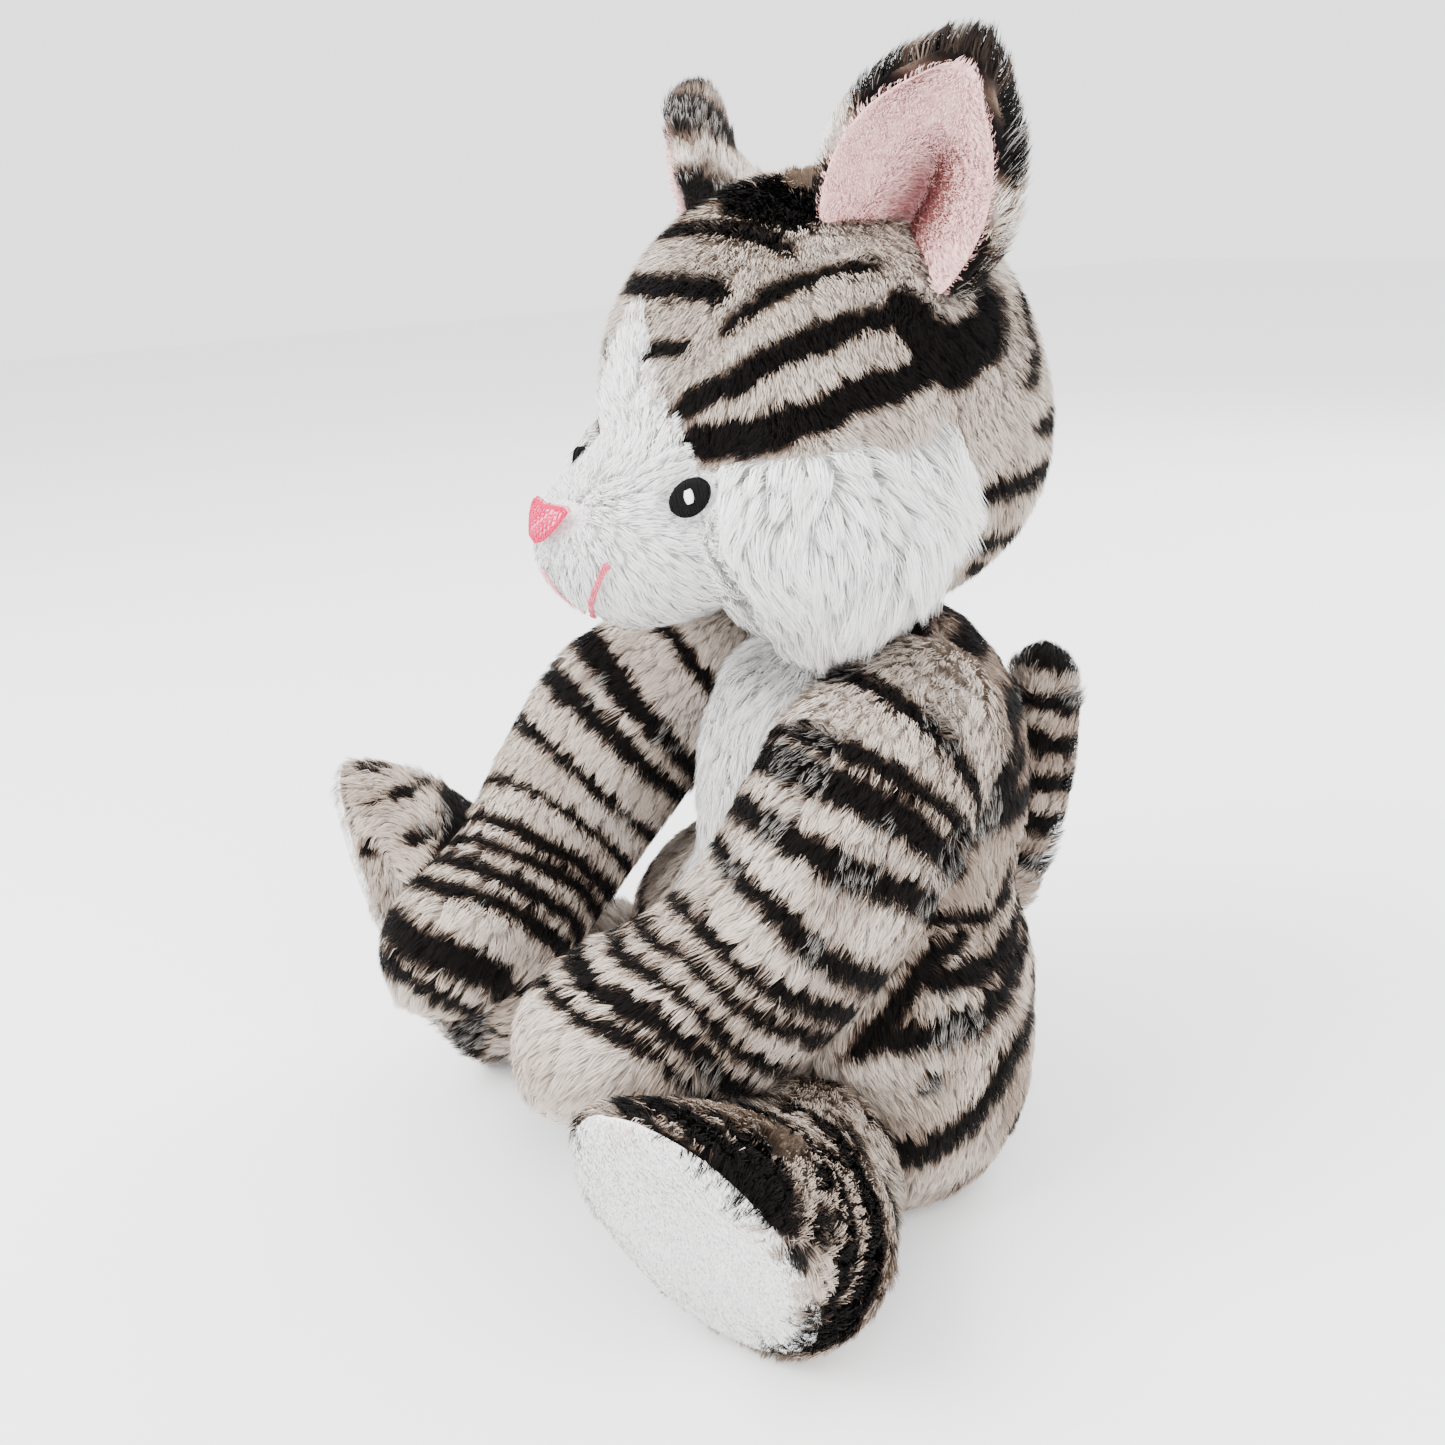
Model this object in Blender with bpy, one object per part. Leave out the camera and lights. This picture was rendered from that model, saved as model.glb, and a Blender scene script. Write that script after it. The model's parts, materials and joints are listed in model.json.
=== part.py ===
"""Seated plush cat: sewn pile-fabric panels over loose filling, limbs and head hinged at their seams.

Frame: +Z up, the cat faces -Y and its left side is +X.  Z = 0 is the surface it sits on and
the origin is the middle of the flat seat.  All lengths below are in millimetres.
"""
import math

import bpy
import numpy as np

MM = 0.001
FABRIC = 2.0  # thickness of the pile fabric, backing and flattened pile
SEAM_GAP = 1.0  # open line left between two sewn panels
HEAD_FILL_GAP = 9.0
FILL_GAP = 5.0  # between a panel's inside and the filling behind it
LIMB_FILL_GAP = 1.2
SOCKET_GAP = 3.0  # around the rounded root of a limb
LIMB_COLUMNS = 16  # points round a limb

# ---------------------------------------------------------------- main dimensions
HEAD_CENTRE = np.array([0.0, -9.0, 235.0])
MUZZLE_CENTRE = np.array([0.0, -70.0, 203.0])
HEAD_LOBES = [  # (centre, half sizes)
    (HEAD_CENTRE, (60.0, 61.0, 59.0)),
    (np.array([0.0, 0.0, 217.0]), (53.0, 47.0, 38.0)),  # nape
    (MUZZLE_CENTRE, (29.0, 27.0, 22.0)),
    (np.array([38.0, -38.0, 206.0]), (27.0, 27.0, 26.0)),  # left cheek
    (np.array([-38.0, -38.0, 206.0]), (27.0, 27.0, 26.0)),  # right cheek
]
TORSO_CENTRE = np.array([0.0, 0.0, 62.0])
TORSO_LOBES = [
    (np.array([0.0, -5.0, 50.0]), (65.0, 54.0, 57.0)),  # hips and seat
    (np.array([42.0, -20.0, 40.0]), (36.0, 38.0, 44.0)),  # left haunch
    (np.array([-42.0, -20.0, 40.0]), (36.0, 38.0, 44.0)),  # right haunch
    (np.array([0.0, 4.0, 116.0]), (48.0, 50.0, 58.0)),  # chest
]
NECK_PIVOT = np.array([0.0, -14.0, 175.0])
NECK_RADIUS = 13.0

ARM_PIVOT = np.array([52.0, -15.0, 147.0])
ARM_ROOT_RADIUS = 25.0
SHOULDER = np.array([60.0, -36.0, 134.0])
ELBOW = np.array([62.0, -61.0, 106.0])
WRIST = np.array([57.0, -85.0, 88.0])
PAW = np.array([47.0, -109.0, 80.0])
PAW_TIP = 26.0  # how far the rounded paw reaches past its middle
LEG_PIVOT = np.array([70.0, -67.0, 32.0])
LEG_ROOT_RADIUS = 27.5
THIGH = np.array([83.0, -81.0, 34.0])
ANKLE = np.array([94.0, -97.0, 43.0])
SOLE_CENTRE = np.array([98.0, -112.0, 50.0])
SOLE_WIDTH_AXIS = np.array([0.87, 0.50, 0.0])
SOLE_LENGTH_AXIS = np.array([0.19, -0.38, 0.90])
SOLE_HALF_WIDTH = 31.0
SOLE_HALF_LENGTH = 54.0
SOLE_CROWN = 7.0
ARM_REACH = {"left": 0.0, "right": 12.0}  # how much further forward each arm lies
LEG_REACH = {"left": 0.0, "right": 6.0}  # how much further out each foot lies
FOOT_LIFT = {"left": 0.0, "right": 10.0}  # how much higher its stuffing pushes each foot
TAIL_PIVOT = np.array([0.0, 61.0, 60.0])
TAIL_ROOT_RADIUS = 10.0
TAIL_COLUMNS = 12
TAIL_TIP = 11.0  # how far the rounded tip reaches past the last station
SOCKETS = [  # (centre, radius) of the rounded limb parts that the torso gives way to
    (ARM_PIVOT, ARM_ROOT_RADIUS),
    (SHOULDER, ARM_ROOT_RADIUS + 3.0),
    (ELBOW, ARM_ROOT_RADIUS),
    (LEG_PIVOT, LEG_ROOT_RADIUS),
    (TAIL_PIVOT, TAIL_ROOT_RADIUS),
]
EAR_HEIGHT = 56.0
EAR_HALF_WIDTH = 25.0
EAR_CUP = 10.0
EAR_GAP = 3.0  # between the folded edge of an ear and the head


def unit(v):
    v = np.asarray(v, float)
    return v / np.linalg.norm(v)


def mirrored(v):
    return np.asarray(v, float) * np.array([-1.0, 1.0, 1.0])


# ---------------------------------------------------------------- meshes
def material(name, colour, roughness=0.9):
    mat = bpy.data.materials.new(name)
    mat.use_nodes = True
    shader = mat.node_tree.nodes["Principled BSDF"]
    shader.inputs["Base Color"].default_value = (*colour, 1.0)
    shader.inputs["Roughness"].default_value = roughness
    shader.inputs["Metallic"].default_value = 0.0
    mat.diffuse_color = (*colour, 1.0)
    return mat


def add_object(name, points, faces, mat, origin=(0.0, 0.0, 0.0)):
    """A closed solid from points in millimetres, its faces turned to look outwards."""
    points = np.asarray(points, float)
    volume = 0.0
    for face in faces:
        for i in range(1, len(face) - 1):
            a, b, c = points[face[0]], points[face[i]], points[face[i + 1]]
            volume += np.dot(a, np.cross(b, c))
    if volume < 0:
        faces = [tuple(reversed(f)) for f in faces]
    origin = np.asarray(origin, float)
    mesh = bpy.data.meshes.new(name)
    mesh.from_pydata([tuple(p) for p in (points - origin) * MM], [], faces)
    mesh.materials.append(MATERIALS[mat])
    mesh.polygons.foreach_set("use_smooth", [True] * len(mesh.polygons))
    obj = bpy.data.objects.new(name, mesh)
    obj.location = tuple(origin * MM)
    bpy.context.scene.collection.objects.link(obj)
    return obj


def loft(rings, start=None, end=None, closed=False):
    """Points and faces of a skin through rings of equal count, with end points or a closed loop.

    The two halves of the rings are cut along matching diagonals, so that the inside of a
    folded-back skin stays parallel to its outside.
    """
    count = len(rings[0])
    points = [p for ring in rings for p in ring]
    faces = []
    last = len(rings) if closed else len(rings) - 1
    for i in range(last):
        a, b = i * count, ((i + 1) % len(rings)) * count
        for j in range(count):
            k = (j + 1) % count
            if i < len(rings) // 2:
                faces += [(a + j, a + k, b + k), (a + j, b + k, b + j)]
            else:
                faces += [(a + j, a + k, b + j), (a + k, b + k, b + j)]
    for point, ring, flip in ((start, 0, True), (end, len(rings) - 1, False)):
        if point is None:
            continue
        points.append(point)
        tip = len(points) - 1
        for j in range(count):
            k = (j + 1) % count
            a, b = ring * count + j, ring * count + k
            faces.append((tip, b, a) if flip else (tip, a, b))
    return points, faces


def slab(outer, inner):
    """Points and faces of a sewn panel: an outer and an inner grid joined round the edge."""
    rows, cols = outer.shape[:2]
    points = list(outer.reshape(-1, 3)) + list(inner.reshape(-1, 3))
    shift = rows * cols
    faces = []
    for i in range(rows - 1):
        for j in range(cols - 1):
            a = i * cols + j
            for corner in ((a, a + 1, a + cols + 1), (a, a + cols + 1, a + cols)):
                faces.append(corner)
                faces.append(tuple(shift + q for q in reversed(corner)))
    edge = [j for j in range(cols)]
    edge += [i * cols + cols - 1 for i in range(1, rows)]
    edge += [(rows - 1) * cols + j for j in range(cols - 2, -1, -1)]
    edge += [i * cols for i in range(rows - 2, 0, -1)]
    for n, a in enumerate(edge):
        b = edge[(n + 1) % len(edge)]
        faces.append((b, a, shift + a, shift + b))
    return points, faces


# ---------------------------------------------------------------- lobed skins
def lobed_radius(origin, directions, lobes, depth=0.0, blend=6.0):
    """Distance from the origin to the outside of blended ellipsoid lobes, along each direction."""
    total = np.zeros(directions.shape[:-1])
    for centre, radii in lobes:
        sizes = np.array(radii) - depth
        start = (origin - centre) / sizes
        step = directions / sizes
        a = (step**2).sum(-1)
        b = (step * start).sum(-1)
        c = (start**2).sum() - 1.0
        root = np.maximum(b * b - a * c, 0.0)
        reach = np.where(b * b - a * c > 0, (-b + np.sqrt(root)) / a, 0.0)
        total += np.maximum(reach, 0.0) ** blend
    return total ** (1.0 / blend)


def keep_out(origin, points, pivot, radius):
    """Points inside a ball are drawn back towards the origin until they lie on the ball."""
    along = points - origin
    reach = np.linalg.norm(along, axis=-1, keepdims=True)
    along = along / reach
    offset = origin - pivot
    b = (along * offset).sum(-1, keepdims=True)
    c = (offset**2).sum() - radius**2
    root = np.maximum(b * b - c, 0.0)
    near = -b - np.sqrt(root)
    inside = np.linalg.norm(points - pivot, axis=-1, keepdims=True) < radius
    return np.where(inside, origin + along * near, points)


def head_point(u, v, depth=0.0):
    """u turns from the face over the crown to the nape, v leans from the middle to the left side."""
    u, v = np.radians(u), np.radians(v)
    along = np.stack([np.sin(v), -np.cos(v) * np.cos(u), np.cos(v) * np.sin(u)], -1)
    reach = lobed_radius(HEAD_CENTRE, along, HEAD_LOBES, depth)
    points = HEAD_CENTRE + along * reach[..., None]
    return keep_out(HEAD_CENTRE, points, NECK_PIVOT, NECK_RADIUS + SOCKET_GAP + depth)


def torso_point(turn, rise, depth=0.0):
    """turn runs round from the front to the left side, rise climbs from the seat to the neck."""
    turn, rise = np.radians(turn), np.radians(rise)
    flat = np.cos(rise)
    along = np.stack([flat * np.sin(turn), -flat * np.cos(turn), np.sin(rise)], -1)
    reach = lobed_radius(TORSO_CENTRE, along, TORSO_LOBES, depth)
    to_seat = (depth - TORSO_CENTRE[2]) / np.minimum(along[..., 2], -1e-6)
    points = TORSO_CENTRE + along * np.minimum(reach, to_seat)[..., None]
    for pivot, radius in SOCKETS:
        points = keep_out(TORSO_CENTRE, points, pivot, radius + SOCKET_GAP + depth)
        points = keep_out(TORSO_CENTRE, points, mirrored(pivot), radius + SOCKET_GAP + depth)
    return keep_out(TORSO_CENTRE, points, NECK_PIVOT, NECK_RADIUS + SOCKET_GAP + depth)


def surface_panel(surface, u_range, v_low, v_high, counts, size):
    """A panel of a lobed skin between two edge curves v_low(u) and v_high(u), seam gaps taken off."""
    gap = math.degrees(SEAM_GAP / 2 / size)
    us = np.linspace(u_range[0] + gap, u_range[1] - gap, counts[0])
    grid_u = np.repeat(us[:, None], counts[1], 1)
    mix = np.linspace(0.0, 1.0, counts[1])[None]
    low = np.array([v_low(u) for u in us])[:, None] + gap
    high = np.array([v_high(u) for u in us])[:, None] - gap
    grid_v = low * (1 - mix) + high * mix
    return slab(surface(grid_u, grid_v), surface(grid_u, grid_v, FABRIC))


def curve(*knots):
    """An edge curve through (angle, value) knots."""
    xs, ys = zip(*knots)
    return lambda u: float(np.interp(u, xs, ys))


def negated(edge):
    """The same edge curve on the other side of the middle."""
    return lambda u: -edge(u)


# ---------------------------------------------------------------- head
FACE_TOP = 9.0  # where the white blaze ends on the forehead
EYE_LINE = -8.0  # between the striped side face and the white cheek
EAR_LINE = 98.0  # where the front of the head meets the back
CHIN_END = -68.0
NAPE_END = 248.0
UNDER = -90.0
SIDE_POLE = 88.8
SEAM_KNOTS = ((EYE_LINE, 25.0), (FACE_TOP, 21.0), (19.0, 30.0), (33.0, 38.0), (56.0, 43.5), (EAR_LINE, 42.0))
FACE_SEAM = curve(*SEAM_KNOTS)
MUZZLE = curve((CHIN_END, 20.0), (-40.0, 34.0), (-20.0, 34.0), (EYE_LINE, 25.0))
NECK_SIDE = 20.0


def head_panel(name, side, u_range, v_low, v_high, counts, mat):
    if side < 0:
        v_low, v_high = negated(v_high), negated(v_low)
    points, faces = surface_panel(head_point, u_range, v_low, v_high, counts, HEAD_LOBES[0][1][0])
    return add_object(name, points, faces, mat, NECK_PIVOT)


def build_head():
    pole = curve((-360.0, SIDE_POLE))
    mirrored_seam = negated(FACE_SEAM)
    head_panel("forehead_gusset", 1, (FACE_TOP, EAR_LINE), mirrored_seam, FACE_SEAM, (10, 9), "stripe_fur")
    head_panel("blaze_panel", 1, (EYE_LINE, FACE_TOP), mirrored_seam, FACE_SEAM, (4, 6), "white_fur")
    head_panel("muzzle_panel", 1, (CHIN_END, EYE_LINE), negated(MUZZLE), MUZZLE, (9, 10), "white_fur")
    cheek_edge = curve((UNDER, NECK_SIDE), (CHIN_END, 20.0), (-40.0, 34.0), (-20.0, 34.0), (EYE_LINE, 25.0))
    below = 360.0 + UNDER
    back_edge = curve((EAR_LINE, 0.0), (NAPE_END, 0.0), (NAPE_END + 4.0, NECK_SIDE), (below, NECK_SIDE))
    for side, tag in ((1, "left"), (-1, "right")):
        front = (EYE_LINE, EAR_LINE)
        head_panel("side_face_panel_" + tag, side, front, FACE_SEAM, pole, (11, 7), "stripe_fur")
        head_panel("cheek_panel_" + tag, side, (UNDER, EYE_LINE), cheek_edge, pole, (10, 7), "cheek_fur")
        back = (EAR_LINE, below)
        head_panel("head_back_panel_" + tag, side, back, back_edge, pole, (16, 8), "stripe_fur")
    rings = []
    around = np.arange(-90.0, 270.0, 12.0)
    for v in np.arange(-78.0, 79.0, 12.0):
        rings.append(head_point(around, np.full_like(around, v), FABRIC + HEAD_FILL_GAP))
    ends = [head_point(np.array([0.0]), np.array([v]), FABRIC + HEAD_FILL_GAP)[0] for v in (-90.0, 90.0)]
    points, faces = loft(rings, ends[0], ends[1])
    add_object("head_filling", points, faces, "filling", NECK_PIVOT)
    points, faces = ball(NECK_PIVOT, NECK_RADIUS)
    add_object("neck_filling", points, faces, "filling", NECK_PIVOT)


def ball(centre, radius, columns=16, rows=8):
    rings = []
    for i in range(1, rows):
        angle = math.pi * i / rows
        turn = np.arange(columns) * 2 * math.pi / columns
        flat = radius * math.sin(angle)
        height = np.full(columns, -radius * math.cos(angle))
        ring = np.stack([flat * np.cos(turn), flat * np.sin(turn), height], -1)
        rings.append(centre + ring)
    return loft(rings, centre - [0, 0, radius], centre + [0, 0, radius])


# ---------------------------------------------------------------- stitched face
def lifted(u, v, lift):
    """Points at a height above the face, measured square to it."""
    step = 1.5
    here = head_point(u, v)
    along_u = head_point(u + step, v) - head_point(u - step, v)
    along_v = head_point(u, v + step) - head_point(u, v - step)
    normal = np.cross(along_v, along_u)
    normal /= np.linalg.norm(normal, axis=-1, keepdims=True)
    facing = np.sign((normal * (here - HEAD_CENTRE)).sum(-1, keepdims=True))
    return here + normal * facing * lift


def stitched_patch(name, side, u, v, outline, low, high, mat, rows=3):
    """A low crowned patch of embroidery that follows the face; outline gives (across, up) in mm."""
    middle = head_point(np.array([u]), np.array([side * v]))[0]
    scale = math.degrees(1.0 / np.linalg.norm(middle - HEAD_CENTRE))
    rim = np.array(outline)
    cos_v = math.cos(math.radians(v))

    def at(shrink, lift):
        across, up = rim[:, 0] * shrink, rim[:, 1] * shrink
        return lifted(u + up * scale / cos_v, side * (v + across * scale), lift)

    crown = low + high
    rings = [at(r / rows, low) for r in range(1, rows + 1)]
    rings += [at(r / rows, low + high * math.sqrt(1.0 - (r / rows) ** 2 * 0.6)) for r in range(rows, 0, -1)]
    bottom = lifted(np.array([u]), np.array([side * v]), low)[0]
    top = lifted(np.array([u]), np.array([side * v]), crown)[0]
    points, faces = loft(rings, bottom, top)
    return add_object(name, points, faces, mat, NECK_PIVOT)


def raised_patch(name, side, u, v, outline, lift, crown, mat):
    """A firm embroidered oval: flat behind, crowned in front, clear of the pile around it."""
    turn = np.radians(np.arange(0.0, 360.0, 30.0))
    around = head_point(u + 8.0 * np.sin(turn), side * v + 7.0 * np.cos(turn))
    centre = head_point(np.array([u]), np.array([side * v]))[0]
    facing = unit(np.cross(around[0] - around[6], around[3] - around[9]))
    facing = facing * np.sign(np.dot(facing, centre - HEAD_CENTRE))
    lift = lift + max(0.0, ((around - centre) @ facing).max())
    up = unit(np.array([0.0, 0.0, 1.0]) - facing * facing[2])
    across = np.cross(up, facing)
    flat = np.outer(outline[:, 0], across) + np.outer(outline[:, 1], up)
    rings = [centre + facing * lift + flat * r for r in (0.5, 1.0)]
    for size, height in ((1.0, 0.4), (0.75, 0.8), (0.4, 1.0)):
        rings.append(centre + facing * (lift + crown * height) + flat * size)
    points, faces = loft(rings, centre + facing * lift, centre + facing * (lift + crown * 1.05))
    return add_object(name, points, faces, mat, NECK_PIVOT)


def stitched_line(name, path, width, lift, height, mat):
    """A narrow run of satin stitch along (u, v) points of the face."""
    path = np.array(path)
    across = np.gradient(path, axis=0)[:, ::-1] * np.array([1.0, -1.0])
    across /= np.linalg.norm(across, axis=1, keepdims=True)
    across *= math.degrees(width / 2 / np.linalg.norm(MUZZLE_CENTRE - HEAD_CENTRE))
    grid = np.stack([path - across, path, path + across], 1)
    outer = lifted(grid[..., 0], grid[..., 1], lift + height)
    inner = lifted(grid[..., 0], grid[..., 1], lift)
    points, faces = slab(outer, inner)
    return add_object(name, points, faces, mat, NECK_PIVOT)


def oval(half_width, half_height, count=16):
    turn = np.arange(count) * 2 * math.pi / count
    return np.stack([half_width * np.cos(turn), half_height * np.sin(turn)], -1)


NOSE_U = -16.0
NOSE_OUTLINE = [(0.0, -6.5), (5.6, -4.8), (11.4, 0.2), (14.5, 3.4), (13.2, 5.8), (7.6, 6.3), (0.0, 5.6)]
PHILTRUM = [(-23.5, 0.0), (-26.5, 0.0), (-29.5, 0.0), (-32.5, 0.0)]
MOUTH = [(-34.0, 2.0), (-32.0, 4.5), (-29.5, 7.5), (-26.5, 11.0), (-23.0, 14.5)]
EYE_LIFT = 2.4
EYE_U, EYE_V = -17.5, 29.5


def build_face():
    for side, tag in ((1, "left"), (-1, "right")):
        raised_patch("eye_" + tag, side, EYE_U, EYE_V, oval(5.2, 7.4), EYE_LIFT, 1.4, "eye_thread")
        glint = oval(1.3, 2.1, 10)
        raised_patch("eye_glint_" + tag, side, EYE_U, EYE_V, glint, EYE_LIFT + 1.8, 0.5, "white_thread")
        smile = [(u, side * v) for u, v in MOUTH]
        stitched_line("mouth_stitch_" + tag, smile, 1.6, 0.8, 0.8, "mouth_thread")
    right_half = [(-x, y) for x, y in NOSE_OUTLINE[-2:0:-1]]
    stitched_patch("nose", 1, NOSE_U, 0.0, NOSE_OUTLINE + right_half, 0.6, 1.4, "nose_thread")
    stitched_line("philtrum_stitch", PHILTRUM, 1.8, 0.6, 0.8, "mouth_thread")


# ---------------------------------------------------------------- limbs
def stations_between(stations, steps):
    """Smoothly interpolated (centre, width axis, height axis) rows through the given stations."""
    rows = np.array([np.concatenate(s) for s in stations])
    padded = np.vstack([2 * rows[0] - rows[1], rows, 2 * rows[-1] - rows[-2]])
    out = []
    for i in range(len(rows) - 1):
        p0, p1, p2, p3 = padded[i : i + 4]
        for s in range(steps):
            t = s / steps
            bend = (2 * p0 - 5 * p1 + 4 * p2 - p3) * t**2
            twist = (3 * p1 - p0 - 3 * p2 + p3) * t**3
            out.append(0.5 * (2 * p1 + (p2 - p0) * t + bend + twist))
    out.append(rows[-1])
    return [(r[:3], r[3:6], r[6:9]) for r in out]


def ring_at(station, inset, count, scale=1.0, shift=0.0):
    centre, width, height = station
    turn = np.arange(count) * 2 * math.pi / count
    w, h = np.linalg.norm(width), np.linalg.norm(height)
    ahead = unit(np.cross(width, height))
    return (
        centre
        + ahead * shift
        + np.outer(np.cos(turn), width / w * (w - inset) * scale)
        + np.outer(np.sin(turn), height / h * (h - inset) * scale)
    )


def limb_rings(stations, steps, inset, count, tip_length):
    """Rings from the root to a rounded tip, and the tip point."""
    rows = stations_between(stations, steps)
    rings = [ring_at(r, inset, count) for r in rows]
    ahead = unit(np.cross(rows[-1][1], rows[-1][2]))
    reach = tip_length - inset
    for angle in (25.0, 50.0, 70.0):
        a = math.radians(angle)
        rings.append(ring_at(rows[-1], inset, count, math.cos(a), reach * math.sin(a)))
    return rings, rows[-1][0] + ahead * reach


def sock(name, stations, steps, count, tip_length, mat, origin):
    """A fabric sleeve open at its root, where it is sewn on, and closed at the tip."""
    outer, tip = limb_rings(stations, steps, 0.0, count, tip_length)
    inner, inner_tip = limb_rings(stations, steps, FABRIC, count, tip_length)
    outer = root_cap(stations[0], 0.0, count)[0] + outer
    inner = root_cap(stations[0], FABRIC, count)[0] + inner
    points, faces = loft(inner[::-1] + outer, inner_tip, tip)
    return add_object(name, points, faces, mat, origin)


def root_cap(station, inset, count):
    """Rings that round off a limb behind its first station, from the back, and the back point."""
    rings = []
    reach = np.linalg.norm(station[2]) - inset
    for angle in (65.0, 35.0):
        a = math.radians(angle)
        rings.append(ring_at(station, inset, count, math.cos(a), -reach * math.sin(a)))
    ahead = unit(np.cross(station[1], station[2]))
    return rings, station[0] - ahead * reach


def stuffing(name, stations, steps, count, tip_length, origin):
    inset = FABRIC + LIMB_FILL_GAP
    rings, tip = limb_rings(stations, steps, inset, count, tip_length)
    cap, back = root_cap(stations[0], inset, count)
    points, faces = loft(cap + rings, back, tip)
    return add_object(name, points, faces, "filling", origin)


def mirrored_stations(stations, side):
    """The same limb on the other side; the width axis turns over so that the rings still face out."""
    if side > 0:
        return stations
    return [(mirrored(c), -mirrored(w), mirrored(h)) for c, w, h in stations]


def arm_stations(reach):
    """The sleeve from the shoulder down over the thigh to the paw; reach slides it forward and in."""
    slide = reach * np.array([0.0, -0.8, -0.25])
    far = reach * np.array([-0.7, -1.0, -0.3])
    return [
        (ARM_PIVOT, np.array([24.0, 0.0, 0.0]), np.array([0.0, -13.0, 21.0])),
        (SHOULDER + slide, np.array([26.0, 2.0, 0.0]), np.array([0.0, -20.0, 23.0])),
        (ELBOW + slide, np.array([23.0, 1.0, 0.0]), np.array([0.0, -20.0, 22.0])),
        (WRIST + far, np.array([22.0, -5.0, 0.0]), np.array([-4.0, -13.0, 24.0])),
        (PAW + far, np.array([21.0, -9.0, 0.0]), np.array([-5.0, -6.0, 21.0])),
    ]


def leg_stations(reach, lift):
    """From the hip seam to the sole; lift is how much higher and more upright the foot stands."""
    sole_w = unit(SOLE_WIDTH_AXIS)
    sole_l = unit(SOLE_LENGTH_AXIS + [0.0, 0.012 * lift, 0.0])
    out = reach * unit(np.cross(sole_w, [0.0, 0.0, 1.0]))
    up = np.array([0.0, 0.0, lift])
    return [
        (LEG_PIVOT, 26.0 * sole_w, np.array([0.0, 0.0, 26.0])),
        (THIGH + 0.3 * out + 0.4 * up, 31.0 * sole_w, np.array([0.0, -2.0, 30.0 + 0.6 * lift])),
        (ANKLE + 0.7 * out + 0.9 * up, 32.0 * sole_w, np.array([4.0, -10.0, 39.0 + 1.2 * lift])),
        (SOLE_CENTRE + out + 0.8 * up, SOLE_HALF_WIDTH * sole_w, (SOLE_HALF_LENGTH + 0.7 * lift) * sole_l),
    ]


def tail_stations():
    across = np.array([1.0, 0.0, 0.0])
    return [
        (TAIL_PIVOT, 9.5 * across, np.array([0.0, 9.5, 0.0])),
        (TAIL_PIVOT + [0.0, 9.0, 22.0], 10.5 * across, np.array([0.0, 10.5, 0.0])),
        (TAIL_PIVOT + [0.0, 14.0, 46.0], 11.0 * across, np.array([0.0, 11.0, 0.0])),
        (TAIL_PIVOT + [0.0, 15.0, 70.0], 10.5 * across, np.array([0.0, 10.5, 0.0])),
    ]


def build_legs():
    for side, tag in ((1, "left"), (-1, "right")):
        origin = LEG_PIVOT if side > 0 else mirrored(LEG_PIVOT)
        stations = mirrored_stations(leg_stations(LEG_REACH[tag], FOOT_LIFT[tag]), side)
        rows = stations_between(stations, 2)
        outer, inner = [
            root_cap(stations[0], inset, LIMB_COLUMNS)[0] + [ring_at(r, inset, LIMB_COLUMNS) for r in rows]
            for inset in (0.0, FABRIC)
        ]
        points, faces = loft(outer + inner[::-1], closed=True)
        add_object("leg_skin_" + tag, points, faces, "stripe_fur", origin)
        last = rows[-1]
        rings = [ring_at(last, 0.4, LIMB_COLUMNS, s, 0.5) for s in (0.35, 0.7, 1.0)]
        top = [(1.0, 1.5), (0.94, 4.0), (0.78, 6.0), (0.4, SOLE_CROWN)]
        rings += [ring_at(last, 0.4, LIMB_COLUMNS, s, lift) for s, lift in top]
        ahead = unit(np.cross(last[1], last[2]))
        points, faces = loft(rings, last[0] + ahead * 0.5, last[0] + ahead * (SOLE_CROWN + 0.4))
        add_object("sole_" + tag, points, faces, "sole_pile", origin)
        inset = FABRIC + LIMB_FILL_GAP
        rings = [ring_at(r, inset, LIMB_COLUMNS) for r in rows]
        cap, back = root_cap(stations[0], inset, LIMB_COLUMNS)
        points, faces = loft(cap + rings, back, last[0])
        add_object("leg_filling_" + tag, points, faces, "filling", origin)


def build_arms():
    for side, tag in ((1, "left"), (-1, "right")):
        origin = ARM_PIVOT if side > 0 else mirrored(ARM_PIVOT)
        stations = mirrored_stations(arm_stations(ARM_REACH[tag]), side)
        sock("arm_skin_" + tag, stations, 2, LIMB_COLUMNS, PAW_TIP, "stripe_fur", origin)
        stuffing("arm_filling_" + tag, stations, 2, LIMB_COLUMNS, PAW_TIP, origin)


def build_tail():
    sock("tail_skin", tail_stations(), 2, TAIL_COLUMNS, TAIL_TIP, "stripe_fur", TAIL_PIVOT)
    stuffing("tail_filling", tail_stations(), 2, TAIL_COLUMNS, TAIL_TIP, TAIL_PIVOT)


# ---------------------------------------------------------------- torso
SEAT_EDGE = -52.0
NECK_EDGE = 80.0
BELLY_HALF = curve((-90.0, 26.0), (0.0, 26.0), (50.0, 40.0), (90.0, 50.0))


def torso_panel(name, turn_low, turn_high, counts, mat):
    def swapped(rise, turn, depth=0.0):
        return torso_point(turn, rise, depth)

    size = TORSO_LOBES[0][1][0]
    points, faces = surface_panel(swapped, (SEAT_EDGE, NECK_EDGE), turn_low, turn_high, counts, size)
    return add_object(name, points, faces, mat)


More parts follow.
